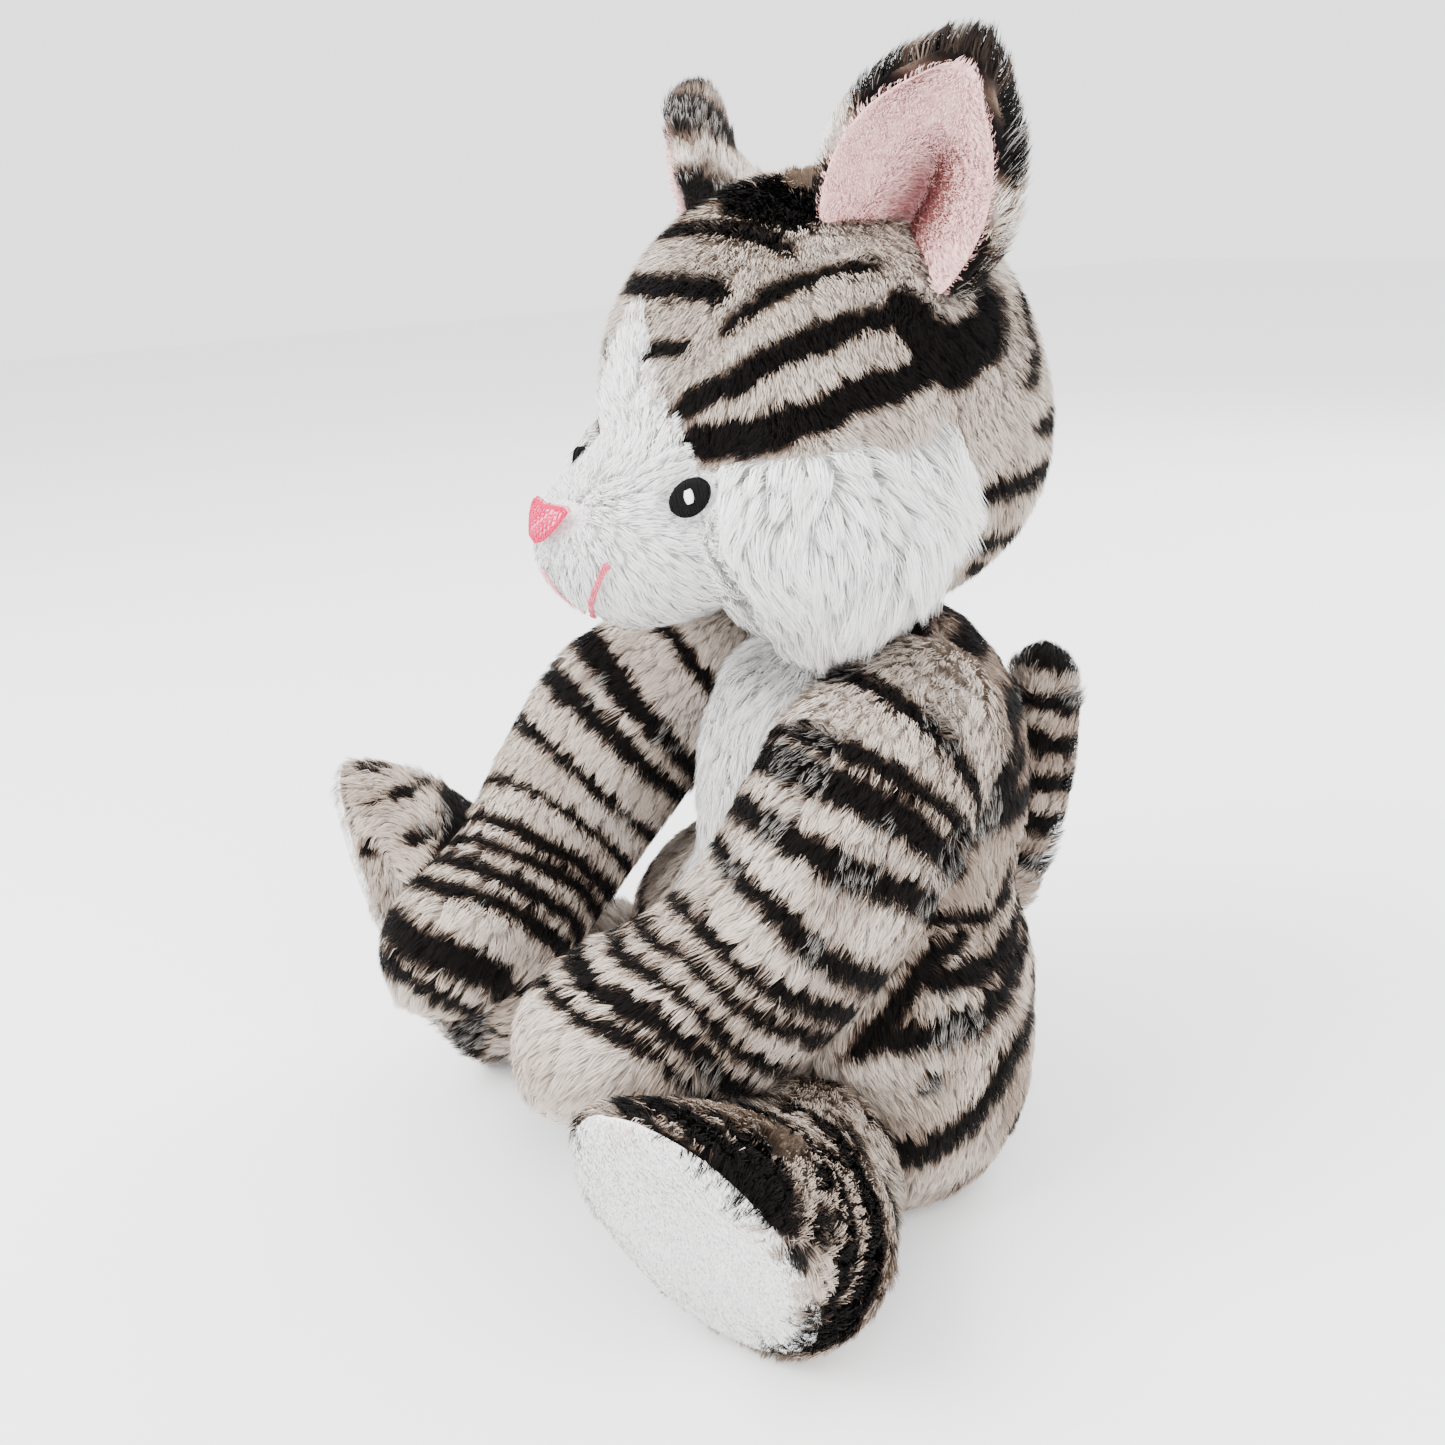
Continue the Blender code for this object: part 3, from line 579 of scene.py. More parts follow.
def strand(points, radius):
    """The rings and faces of one thread along a run of points, closed at both ends."""
    sides = THREAD_SIDES
    points = np.asarray(points)
    ahead = unit(np.gradient(points, axis=0))
    out = flattened(points - HEAD_CENTRE, ahead)
    across = np.cross(ahead, out)
    turn = np.arange(sides) * 2 * math.pi / sides
    ring = np.cos(turn)[None, :, None] * across[:, None] + np.sin(turn)[None, :, None] * out[:, None]
    co = (points[:, None] + ring * radius).reshape(-1, 3)
    faces = []
    for i in range(len(points) - 1):
        for j in range(sides):
            k = (j + 1) % sides
            faces.append((i * sides + j, i * sides + k, (i + 1) * sides + k, (i + 1) * sides + j))
    last = (len(points) - 1) * sides
    faces.append(tuple(range(sides))[::-1])
    faces.append(tuple(last + j for j in range(sides)))
    return co, faces


def embroidered(obj, slot, *nodes):
    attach(obj, "head")
    if nodes:
        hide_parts(*nodes)


def threads(name, lines, radius, mat, slot, *nodes):
    """Many threads in one piece that rides on the head."""
    co, faces = [], []
    start = 0
    for line in lines:
        points, rings = strand(line, radius)
        co.append(points)
        faces += [tuple(i + start for i in face) for face in rings]
        start += len(points)
    embroidered(add_mesh(name, np.concatenate(co), faces, mat), slot, *nodes)


EYE_WIDE, EYE_TALL = 1.28, 0.88  # of the CAD eye, after the photograph
EYE_LEAN = 0.3  # how steeply the eye turns to its own side
GLINT_WIDE, GLINT_TALL = 1.0, 1.2
GLINT_SHIFT, GLINT_LIFT = 1.4, 0.7  # mm towards the ear, and out of the eye
NOSE_WIDE, NOSE_TALL = 0.86, 0.66
MOUTH_RADIUS = 0.3  # mm
PAD_DEPTH = 1.2  # mm, of the cushions under the stitches
LOOP_LENGTH = 1.7  # mm from one loop of the nose's stitches to the next


class Patch:
    """The outer face of an embroidered node, seen straight on: across and up in metres.

    The stitched outline may be wider or lower than the node's, and may lean out on one side.
    """

    def __init__(self, name, wide=1.0, tall=1.0, lean=0.0, flat=False):
        co = places(NODES[name])
        self.centre = centre_of(name)
        self.lean = lean
        self.flat = flat
        self.out = unit(self.centre - HEAD_CENTRE)
        self.across = unit(np.cross([0.0, 0.0, 1.0], self.out))
        self.up = np.cross(self.out, self.across)
        self.surface = tree(NODES[name])
        self.face_depth = self.surface.ray_cast(Vector(self.centre + self.out * 0.03), Vector(-self.out))[3]
        seen = np.stack([(co - self.centre) @ self.across, (co - self.centre) @ self.up], -1)
        rim = seen[convex_hull_2d([tuple(p) for p in seen])] * np.array([wide, tall])
        edge = np.roll(rim, -1, axis=0) - rim
        self.rim_normal = unit(np.stack([edge[:, 1], -edge[:, 0]], -1))
        self.rim_normal *= np.sign((self.rim_normal * rim).sum(1))[:, None]
        self.rim_distance = (self.rim_normal * rim).sum(1)

    def reach(self, angle):
        """How far the outline is from the middle in one direction."""
        facing = self.rim_normal @ np.array([math.cos(angle), math.sin(angle)])
        ahead = facing > 1e-6
        return (self.rim_distance[ahead] / facing[ahead]).min()

    def rim(self, turn, shrink):
        return np.array([self.reach(a) * shrink * np.array([math.cos(a), math.sin(a)]) for a in turn])

    def on_face(self, x, y, lift):
        """A point on the node's outer face at (x, y), raised by lift."""
        spot = self.centre + self.out * 0.03 + self.across * x + self.up * y
        depth = self.face_depth
        if not self.flat:
            hit = self.surface.ray_cast(Vector(spot), Vector(-self.out))
            depth = self.face_depth if hit[0] is None else hit[3]
        return spot - self.out * depth + self.out * (lift + self.lean * x)

    def pad(self, name, shrink, crown, mat, slot, *nodes, rings=7, count=48):
        """A closed cushion under the stitches, with a crowned face and a flat back."""
        turn = np.linspace(0.0, 2 * math.pi, count, endpoint=False)
        rim = self.rim(turn, shrink)
        co = []
        for share in np.linspace(0.0, 1.0, rings + 1)[1:]:
            rise = crown * (1 - share**2)
            co += [self.on_face(x, y, rise) for x, y in rim * share]
        top = len(co)
        co += [co[top - count + i] - self.out * PAD_DEPTH * MM for i in range(count)]
        co += [self.on_face(0.0, 0.0, crown), self.on_face(0.0, 0.0, -PAD_DEPTH * MM)]
        faces = []
        for i in range(count):
            j = (i + 1) % count
            faces.append((top + count, i, j))
            faces.append((top + count + 1, top + j, top + i))
            for ring in range(rings):
                low = ring * count
                faces.append((low + i, low + count + i, low + count + j, low + j))
        embroidered(add_mesh(name, co, faces, mat), slot, *nodes)

    def outline(self, shrink, lift):
        turn = np.linspace(0.0, 2 * math.pi, 48)
        return np.array([self.on_face(x, y, lift) for x, y in self.rim(turn, shrink)])

    def satin(self, step, angle, lift, shrink, rng, jitter=0.0, loop=0.0):
        """Parallel stitches over the patch at an angle from across, tucked in at their ends.

        A loop above 0 makes each stitch wander to both sides by that much.
        """
        turn = np.linspace(0.0, 2 * math.pi, 72, endpoint=False)
        rim = self.rim(turn, shrink)
        way = np.array([math.cos(angle), math.sin(angle)])
        side = np.array([-way[1], way[0]])
        lines = []
        across = rim @ side
        for offset in np.arange(across.min() + step / 2, across.max(), step):
            chord = rim[np.abs(across - offset) < step * 1.2] @ way
            if len(chord) < 2 or np.ptp(chord) < step:
                continue
            ends = chord.min() + rng.uniform(0, jitter), chord.max() - rng.uniform(0, jitter)
            count = 9 if loop == 0 else 9 + 4 * int((ends[1] - ends[0]) / LOOP_LENGTH / MM)
            run = np.linspace(*ends, count)
            bow = np.clip(np.sin(np.linspace(0.0, math.pi, count)), 0.0, 1.0) ** 0.5
            wander = loop * np.sin(run / (LOOP_LENGTH * MM) * 2 * math.pi + rng.uniform(0, 6.0))
            spots = run[:, None] * way + (offset + rng.normal(0, step * 0.12) + wander)[:, None] * side
            lines.append(np.array([self.on_face(x, y, lift * b) for (x, y), b in zip(spots, bow)]))
        return lines


def stitched(name, radius, rng):
    """Short overlapping stitches, three side by side, along a stitched line's node."""
    line = course(name, 60)
    ahead = unit(np.gradient(line, axis=0))
    out = flattened(line - HEAD_CENTRE, ahead)
    across = np.cross(ahead, out)
    lines = []
    for lane in (-1, 0, 1):
        for start in range(0, 56, 9):
            first = max(0, start + 3 * lane)
            part = slice(first, min(first + 11, 60))
            if len(line[part]) < 5:
                continue
            bow = np.sin(np.linspace(0.0, math.pi, len(line[part]))) ** 0.5
            shift = across[part] * lane * radius * 1.7
            spots = line[part] + shift + out[part] * (radius * bow * 1.6)[:, None]
            lines.append(spots + rng.normal(0, 0.03 * MM, 3))
    return lines


def build_face():
    rng = np.random.default_rng(80)
    radius = MOUTH_RADIUS * MM
    for side, tag in ((1, "left"), (-1, "right")):
        eye = Patch(f"eye_{tag}", EYE_WIDE, EYE_TALL, -EYE_LEAN * side, flat=True)
        eye.pad(f"eye_pad_{tag}", 0.9, 0.5 * MM, EYE_THREAD, "eye_thread", f"eye_{tag}")
        lines = eye.satin(0.4 * MM, math.pi / 2, 0.5 * MM, 0.88, rng)
        lines += [eye.outline(0.9, 0.0)]
        threads(f"eye_satin_{tag}", lines, 0.3 * MM, EYE_THREAD, "eye_thread")
        glint = Patch(f"eye_glint_{tag}", GLINT_WIDE, GLINT_TALL, -EYE_LEAN * side, flat=True)
        glint.centre = glint.centre + (glint.across * side * GLINT_SHIFT + glint.out * GLINT_LIFT) * MM
        glint.pad(f"eye_glint_pad_{tag}", 0.9, 0.3 * MM, GLINT_THREAD, "white_thread", f"eye_glint_{tag}")
        lines = glint.satin(0.36 * MM, 0.3, 0.4 * MM, 0.9, rng)
        threads(f"eye_glint_satin_{tag}", lines, 0.26 * MM, GLINT_THREAD, "white_thread")
        mouth = f"mouth_stitch_{tag}"
        lines = stitched(mouth, radius, rng)
        threads(f"mouth_thread_{tag}", lines, radius, MOUTH_THREAD, "mouth_thread", mouth)
    lines = stitched("philtrum_stitch", radius, rng)
    threads("philtrum_thread", lines, radius, PHILTRUM_THREAD, "mouth_thread", "philtrum_stitch")
    nose = Patch("nose", NOSE_WIDE, NOSE_TALL)
    nose.pad("nose_pad", 0.94, 0.6 * MM, NOSE_PAD, "nose_thread", "nose")
    lines = nose.satin(1.1 * MM, 0.5, 0.7 * MM, 0.84, rng, jitter=0.8 * MM, loop=0.4 * MM)
    threads("nose_fill_stitches", lines, 0.24 * MM, NOSE_FILL, "nose_thread")
    edge = [nose.outline(share, 0.3 * MM) for share in (0.95, 0.89)]
    threads("nose_edge_stitches", edge, 0.36 * MM, NOSE_EDGE, "nose_thread")


# ---------------------------------------------------------------- printed stripes
def dense(points, count):
    """Points spread evenly over the straight stretches between a few control points."""
    points = np.array(points, float)
    at = np.linspace(0, len(points) - 1, count)
    return np.stack([np.interp(at, np.arange(len(points)), points[:, k]) for k in range(points.shape[1])], -1)


def head_way(u, v):
    """u turns from the face over the crown to the nape, v leans to the left side."""
    u, v = np.radians(u), np.radians(v)
    return np.stack([np.sin(v), -np.cos(v) * np.cos(u), np.cos(v) * np.sin(u)], -1)


def torso_way(turn, rise):
    """turn runs round from the front to the left side, rise climbs from the seat to the neck."""
    turn, rise = np.radians(turn), np.radians(rise)
    return np.stack([np.cos(rise) * np.sin(turn), -np.cos(rise) * np.cos(turn), np.sin(rise)], -1)


def head_angles(p):
    way = unit(p - HEAD_CENTRE)
    u = np.degrees(np.arctan2(way[:, 2], -way[:, 1]))
    return np.where(u < -90.0, u + 360.0, u), np.degrees(np.arcsin(way[:, 0]))


def torso_angles(p):
    way = unit(p - TORSO_CENTRE)
    return np.degrees(np.arctan2(way[:, 0], -way[:, 1])), np.degrees(np.arcsin(way[:, 2]))


def stripe_depth(way, stripes, to_way, radius):
    """How far inside the nearest stripe each point is, in mm; negative outside."""
    best = np.full(len(way), -1e3)
    for half, *line in stripes:
        run = dense(line, 56)
        middle = to_way(run[:, 0], run[:, 1])
        taper = half * np.clip(np.sin(np.linspace(0.12, math.pi - 0.12, len(run))) * 3.0, 0.45, 1.0)
        for first in range(0, len(way), 40000):
            part = slice(first, first + 40000)
            gap = np.linalg.norm(way[part][:, None] - middle[None], axis=-1) * radius
            best[part] = np.maximum(best[part], (taper[None] - gap).max(1))
    return best


def printed(depth, p, rng, ground):
    """The shade of each fibre from its depth inside a stripe: soft brown edges round a black core."""
    depth = depth + 0.4 * waves(p, 13.0, 5) + rng.normal(0, 0.25, len(p))
    core = np.clip(depth + 0.5, 0.0, 1.0)
    brown = np.clip((depth + 2.2) / 2.2, 0.0, 1.0) * (rng.random(len(p)) < 0.5)
    return ground + (BROWN + 0.12 - ground) * brown * 0.7 * (1 - core) + (BLACK - ground) * core


FOREHEAD_STRIPES = [  # (half width, (u, v) points ...), on the middle of the head
    (9.5, (68, -30), (64, -12), (70, 0), (64, 12), (68, 30)),
    (3.0, (50, -27), (49, 0), (52, 18), (55, 35)),
    (3.6, (33, -19), (32, 0), (33, 12), (35, 28)),
    (2.4, (17, -16), (13, -5)),
    (2.4, (13, 4), (17, 14), (18, 23)),
    (1.8, (90, -26), (88, 0), (90, 26)),
]
SIDE_STRIPES = [  # on the left side of the head, and mirrored on the right
    (2.4, (25, 31), (39, 38), (57, 46), (76, 53)),
    (3.8, (2, 21), (12, 38), (32, 54), (66, 66)),
    (4.6, (-6, 22), (-4, 42), (3, 60), (27, 76), (75, 80)),
    (7.5, (71, 63), (78, 72), (103, 80), (136, 68), (129, 53)),
]
BACK_STRIPES = [  # across the back of the head
    (3.4, (267, 70), (229, 64), (209, 49), (203, 24), (201, 0)),
    (3.0, (262, 58), (234, 45), (220, 24), (216, 0)),
    (2.8, (248, 44), (238, 28), (232, 8), (231, 0)),
    (2.8, (196, 60), (190, 36), (186, 12), (185, 0)),
    (3.4, (176, 62), (165, 47), (155, 50), (150, 26), (148, 0)),
    (2.8, (172, 34), (167, 14), (166, 0)),
    (3.2, (124, 34), (118, 16), (116, 0)),
]
TORSO_STRIPES = [  # (half width, (turn, rise) points ...), on the left side of the torso, mirrored
    (2.4, (60, 27), (80, 25), (105, 20), (140, 24), (180, 28)),
    (3.2, (70, 12), (100, 10), (140, 14), (180, 18)),
    (2.6, (54, -2), (73, 16), (90, 19)),
    (3.6, (60, 2), (83, 2), (99, 4), (140, 6), (180, 8)),
    (3.4, (60, -22), (76, -17), (90, -9), (130, -8), (180, -6)),
    (2.8, (90, -28), (140, -24), (180, -22)),
    (3.4, (80, 40), (110, 44), (130, 42), (180, 40)),
    (3.2, (70, 56), (108, 51), (135, 57), (180, 55)),
    (3.4, (50, 70), (100, 68), (180, 70)),
]
HEAD_SEAMS = [  # where the pile parts, as (u, v) points on the left side
    (0.0, (-8, 25), (9, 21), (19, 30), (33, 38), (56, 43.5), (98, 42)),
    (0.0, (-8, 25), (-20, 34), (-40, 34), (-68, 20)),
]
BACK_SEAM = [(0.0, (100, 0), (170, 0), (246, 0))]


def mirrored(stripes):
    return [(half, *[(a, -b) for a, b in line]) for half, *line in stripes]


def turned(stripes):
    return [(half, *[(-a, b) for a, b in line]) for half, *line in stripes]


# ---------------------------------------------------------------- limbs
LIMB_CUTS = 9  # planes across a limb, to find its middle line
RUFFLED_REACH = 55.0  # how far the ruffled pile comes down a limb, in mm


class Limb:
    """Places along and round a limb, measured from its root, for stripes and combing."""

    def __init__(self, node_name, root, side, reach=None):
        co = places(NODES[node_name])
        if reach is None:
            reach = co[np.linalg.norm(co - root, axis=1).argmax()]
        axis = unit(reach - root)
        share = (co - root) @ axis
        cuts = np.linspace(0.0, share.max(), LIMB_CUTS)
        middles = [root]
        for low, high in zip(cuts[:-1], cuts[1:]):
            inside = (share >= low) & (share <= high)
            if inside.sum() > 3:
                middles.append(co[inside].mean(0))
        middles.append(reach)
        self.line = dense(middles, 80)
        for _ in range(60):
            self.line[1:-1] = (self.line[:-2] + self.line[2:]) / 2
        step = np.linalg.norm(np.diff(self.line, axis=0), axis=1)
        self.length = np.concatenate([[0.0], np.cumsum(step)])
        self.ahead = unit(np.gradient(self.line, axis=0))
        self.side = side

    def place(self, p):
        """Distance along in mm, angle round in degrees (0 outer side, 90 top) and direction."""
        near = np.linalg.norm(p[:, None] - self.line[None], axis=-1).argmin(1)
        ahead = self.ahead[near]
        up = flattened(np.array([0.0, 0.0, 1.0]), ahead)
        out = np.cross(up, ahead)
        out *= np.where(out[:, :1] * self.side < 0, -1.0, 1.0)
        arm = p - self.line[near]
        around = np.degrees(np.arctan2((arm * up).sum(1), (arm * out).sum(1)))
        return self.length[near] / MM + ((arm * ahead).sum(1)) / MM, around, ahead


def ring_depth(along, around, rings):
    """Depth in mm inside the nearest ring: (half width, place, slant to the top, slant outwards)."""
    best = np.full(len(along), -1e3)
    turn = np.radians(around)
    for half, place, top, out in rings:
        level = place + top * np.sin(turn) + out * np.cos(turn)
        best = np.maximum(best, half - np.abs(along - level))
    return best


ARM_RINGS = {  # in mm; the two arms are cut from different stretches of the printed pile
    "left": [
        (4.0, 9, -4, 2),
        (2.4, 24, 3, 0),
        (3.8, 31, 3, 1),
        (3.6, 43, 5, 2),
        (3.4, 60, 2, 4),
        (2.6, 78, 8, -3),
        (2.2, 86, 12, -3),
        (2.4, 95, 11, -2),
        (3.2, 105, 12, -3),
        (2.0, 115, 11, -5),
    ],
    "right": [
        (2.6, 15, 0, 0),
        (4.0, 35, 0, -3),
        (4.0, 47, 1, -3),
        (2.8, 66, 0, -5),
        (2.2, 84, 2, -1),
        (3.0, 97, 7, 0),
        (2.4, 106, 7, 2),
        (2.4, 115, 7, 2),
        (2.8, 123, 8, 2),
        (4.4, 140, 6, 0),
        (2.4, 150, 4, 0),
    ],
}


# ---------------------------------------------------------------- the cat
STRIPED, WHITE_FACE, CHEEK = 0, 1, 2  # kinds of pile on the head


def head_region(u, v):
    """Striped, white and cheek parts of the head; the white blaze narrows up the forehead."""
    a = np.abs(v)
    region = np.full(len(u), STRIPED)
    blaze = (u > -8) & (u < 26) & (a < np.interp(u, [-8, 8, 26], [24, 15, 3]))
    muzzle = (u <= -8) & (u >= -68) & (a < np.interp(u, [-68, -40, -20, -8], [20, 34, 34, 24]))
    top = np.interp(a, [20, 32, 39, 53, 69, 83], [-13, -13, -10, -10, -14, -40])
    cheek = ((u < top) & ~muzzle) | ((u > 262) & (a > 20))
    region[blaze | muzzle] = WHITE_FACE
    region[cheek & ~(blaze | muzzle)] = CHEEK
    return region


def face_mask(p, centre, half_size):
    """1 on the edge of an embroidered patch, less inside it; half_size is across, out and up in mm."""
    return np.linalg.norm((p - centre) / (np.array(half_size) * MM), axis=1)


def trimmed(gap, start, reach, shortest):
    """The share of its length that pile keeps near embroidery: it grows over reach mm past start."""
    return np.clip((gap / MM - start) / reach, shortest, 1.0)


PARTING_REACH = 3.5  # mm


def parting(way, seams, to_way, radius):
    """How long the pile stands by a seam, from 0.45 on it to 1 a few mm away."""
    gap = -stripe_depth(way, seams, to_way, radius)
    return np.clip(gap / PARTING_REACH, 0.45, 1.0)


NOSE_CLEAR = (12.0, 12.0, 4.4)  # mm kept free of pile: across, out and up
EYE_CLEAR = (6.4, 6.8, 6.0)


def build_head():
    panels = [n for n in NODES if NODES[n]["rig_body"] == "head" and ("panel" in n or "gusset" in n)]
    skin = wrapped("head_skin", panels, HEAD_CENTRE, BACKING, sink=0.6)
    relaxed(skin, 3)
    puffed(skin, np.zeros(len(skin.data.vertices)), 1.5)
    cushion(skin, "head", 0.75, "head_filling", *panels)
    rng = np.random.default_rng(11)
    root, normal = scattered(skin, FIBRES_PER_MM2, rng)
    eyes = [centre_of("eye_left"), centre_of("eye_right")]
    nose = centre_of("nose")
    keep = face_mask(root, nose, NOSE_CLEAR) > 1.0
    for eye in eyes:
        keep &= face_mask(root, eye, EYE_CLEAR) > 1.0
    root, normal = root[keep], normal[keep]
    u, v = head_angles(root)
    region = head_region(u, v)
    comb = flattened(head_comb(root, u, region), normal)
    comb = swirled(comb, normal, root, 0.3, 21)
    length = np.choose(region, [HEAD_PILE, WHITE_PILE, CHEEK_PILE])
    for eye in eyes:
        length = length * trimmed(np.linalg.norm(root - eye, axis=1), 4.0, 12.0, 0.3)
    length = length * trimmed(np.linalg.norm(root - nose, axis=1), 7.0, 9.0, 0.3)
    for line in ("mouth_stitch_left", "mouth_stitch_right", "philtrum_stitch"):
        gap = np.linalg.norm(root[:, None] - course(line)[None], axis=-1).min(1)
        length = length * trimmed(gap, 0.0, 4.0, 0.35)
    way = unit(root - HEAD_CENTRE)
    seams = HEAD_SEAMS + mirrored(HEAD_SEAMS) + BACK_SEAM
    length = length * parting(way, seams, head_way, HEAD_RADIUS)
    fringe = (region == CHEEK) & ((u < -48) | (u > 262))
    length = length * np.where(fringe, FRINGE, 1.0)

    def head_print(p):
        return head_shade(p, np.full(len(p), STRIPED), rng)

    for kind, name, slot, clump, spacing in (
        (STRIPED, "head_striped_pile", "stripe_fur", 0.3, CLUMP_SIZE),
        (WHITE_FACE, "muzzle_pile", "white_fur", 0.4, CLUMP_SIZE),
        (CHEEK, "cheek_pile", "cheek_fur", 0.62, CHEEK_CLUMP),
    ):
        of_kind = region == kind
        shade = head_print if kind == STRIPED else WHITE
        lean = (30.0, 62.0) if kind == STRIPED else (42.0, 78.0)
        pile(name, "head", root[of_kind], normal[of_kind], comb[of_kind], shade, length[of_kind],
             rng, lean=lean, clump=clump, spacing=spacing)
    set_shade(skin, lambda p: head_shade(p, head_region(*head_angles(p)), rng))
    build_face()


def centre_of(name):
    low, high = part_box(name)
    return np.array((low + high) / 2)


def set_shade(obj, shade_at):
    layer = obj.data.attributes.new("shade", "FLOAT", "POINT")
    layer.data.foreach_set("value", shade_at(places(obj)).astype(np.float32))


def swirled(comb, normal, p, amount, seed):
    """Turns the combing direction about the normal by smooth noise."""
    turn = (amount * waves(p, 38.0, seed))[:, None]
    return unit(comb * np.cos(turn) + np.cross(normal, comb) * np.sin(turn))


def head_shade(p, region, rng):
    way = unit(p - HEAD_CENTRE)
    stripes = FOREHEAD_STRIPES + SIDE_STRIPES + mirrored(SIDE_STRIPES) + BACK_STRIPES + mirrored(BACK_STRIPES)
    depth = stripe_depth(way, stripes, head_way, HEAD_RADIUS)
    ground = BEIGE + 0.05 * waves(p, 30.0, 3)
    shade = printed(depth, p, rng, ground)
    return np.where(region == STRIPED, shade, WHITE)


def head_comb(p, u, region):
    """The pile runs down the head, across its stripes, and back from the nose on the muzzle."""
    away = unit(p - (HEAD_CENTRE + np.array([0.0, -80.0, -20.0]) * MM))
    down = np.array([0.0, 0.0, -1.0])
    back = np.clip((u - 95.0) / 40.0, 0.0, 1.0)[:, None]
    way = away * (1 - back) + down * back
    striped = (region == STRIPED)[:, None]
    way = np.where(striped, away * 0.15 * (1 - back) + down, way)
    cheek = (region == CHEEK)[:, None]
    return np.where(cheek, away * 0.3 + down, way)


def build_torso():
    panels = ["belly_panel", "back_panel_left", "back_panel_right", "seat_panel"]
    skin = wrapped("torso_skin", panels, TORSO_CENTRE, BACKING, sink=0.6)
    relaxed(skin, 3)
    puffed(skin, np.clip(1.0 - places(skin)[:, 2] / MM / 6.0, 0.0, 1.0), 1.5)
    cushion(skin, "torso", 0.6, "torso_filling", *panels)
    rng = np.random.default_rng(12)
    root, normal = scattered(skin, FIBRES_PER_MM2, rng)
    comb = flattened(np.array([0.0, 0.0, -1.0]) + 0.25 * unit(root - TORSO_CENTRE), normal)
    comb = swirled(comb, normal, root, 0.5, 22)
    turn, rise = torso_angles(root)
    length = np.where(root[:, 2] < 8 * MM, 2.5, np.where(on_belly(turn, rise), BELLY_PILE, BODY_PILE))
    frost = (waves(root, 34.0, 9) > 0.9) * (rng.random(len(root)) < 0.7)

    def shade_at(p):
        return torso_shade(p, rng)

    belly = on_belly(turn, rise)
    kinds = ((~belly, "torso_striped_pile", "stripe_fur"), (belly, "belly_pile", "white_fur"))
    for chosen, name, slot in kinds:
        shade = shade_at if slot == "stripe_fur" else BELLY
        light = frost[chosen] if slot == "stripe_fur" else None
        pile(name, "torso", root[chosen], normal[chosen], comb[chosen], shade, length[chosen], rng,
             frost=light)
    set_shade(skin, lambda p: np.where(on_belly(*torso_angles(p)), BACKING_CREAM, torso_shade(p, rng)))


def on_belly(turn, rise):
    return np.abs(turn) < np.interp(rise, [-90, 0, 50, 90], [26, 26, 42, 60])


def torso_shade(p, rng):
    rise = torso_angles(p)[1]
    stripes = TORSO_STRIPES + turned(TORSO_STRIPES)
    depth = stripe_depth(unit(p - TORSO_CENTRE), stripes, torso_way, TORSO_RADIUS)
    shoulder = np.clip((rise - 20.0) / 30.0, 0.0, 1.0)
    ground = BEIGE - 0.05 - 0.16 * shoulder + 0.06 * waves(p, 26.0, 4)
    blotch = 2.4 * waves(p, 15.0, 8) - 3.0 + 2.4 * shoulder
    return printed(np.maximum(depth, blotch), p, rng, ground)


def limb_pile(name, body, skin, limb, rings, seed, ground=BEIGE, droop=0.15, mottle=0.0):
    """Pile combed along a limb; mottle is how much of it is blotched dark between the rings."""
    rng = np.random.default_rng(seed)
    root, normal = scattered(skin, FIBRES_PER_MM2, rng)

    def shade_at(p):
        along, around, _ = limb.place(p)
        depth = ring_depth(along, around + 10.0 * waves(p, 45.0, seed), rings)
        if mottle > 0:
            depth = np.maximum(depth, 2.6 * waves(p, 14.0, seed + 1) - 3.4 + 2.4 * mottle)
        return printed(depth, p, rng, ground + 0.05 * waves(p, 28.0, seed + 2))

    ahead = limb.place(root)[2]
    down = np.array([0.0, 0.0, -droop])
    comb = swirled(flattened(ahead + down, normal), normal, root, 0.16, seed + 3)
    shoulder = np.clip(1.0 - limb.place(root)[0] / RUFFLED_REACH, 0.0, 1.0)
    ruffled = np.clip(waves(root, 30.0, seed + 4) * 1.5 - 1.2 + 1.1 * shoulder, 0.0, 1.0)
    frost = ruffled * (rng.random(len(root)) < 0.55) > 0.2
    lean = (42.0 - 18.0 * ruffled, 80.0 - 34.0 * ruffled)
    pile(name, body, root, normal, comb, shade_at, BODY_PILE, rng, lean=lean, frost=frost)
    set_shade(skin, shade_at)


def build_arm(side, tag):
    root = joint_place(f"arm_{tag}_raise")
    limb = Limb(f"arm_filling_{tag}", root, side)
    skin = grown(f"arm_padded_{tag}", f"arm_filling_{tag}", 3.0, BACKING)
    puffed(skin, np.zeros(len(skin.data.vertices)), 1.2)
    body = f"arm_{tag}"
    cushion(skin, body, 0.6, f"arm_skin_{tag}", f"arm_filling_{tag}")
    limb_pile(f"arm_pile_{tag}", body, skin, limb, ARM_RINGS[tag], 30 + side)


LEG_RINGS = [
    (3.6, 14, 3, 0),
    (4.2, 34, 4, 2),
    (3.4, 50, 10, -3),
    (3.0, 62, 4, 0),
    (5.0, 82, 6, 2),
]


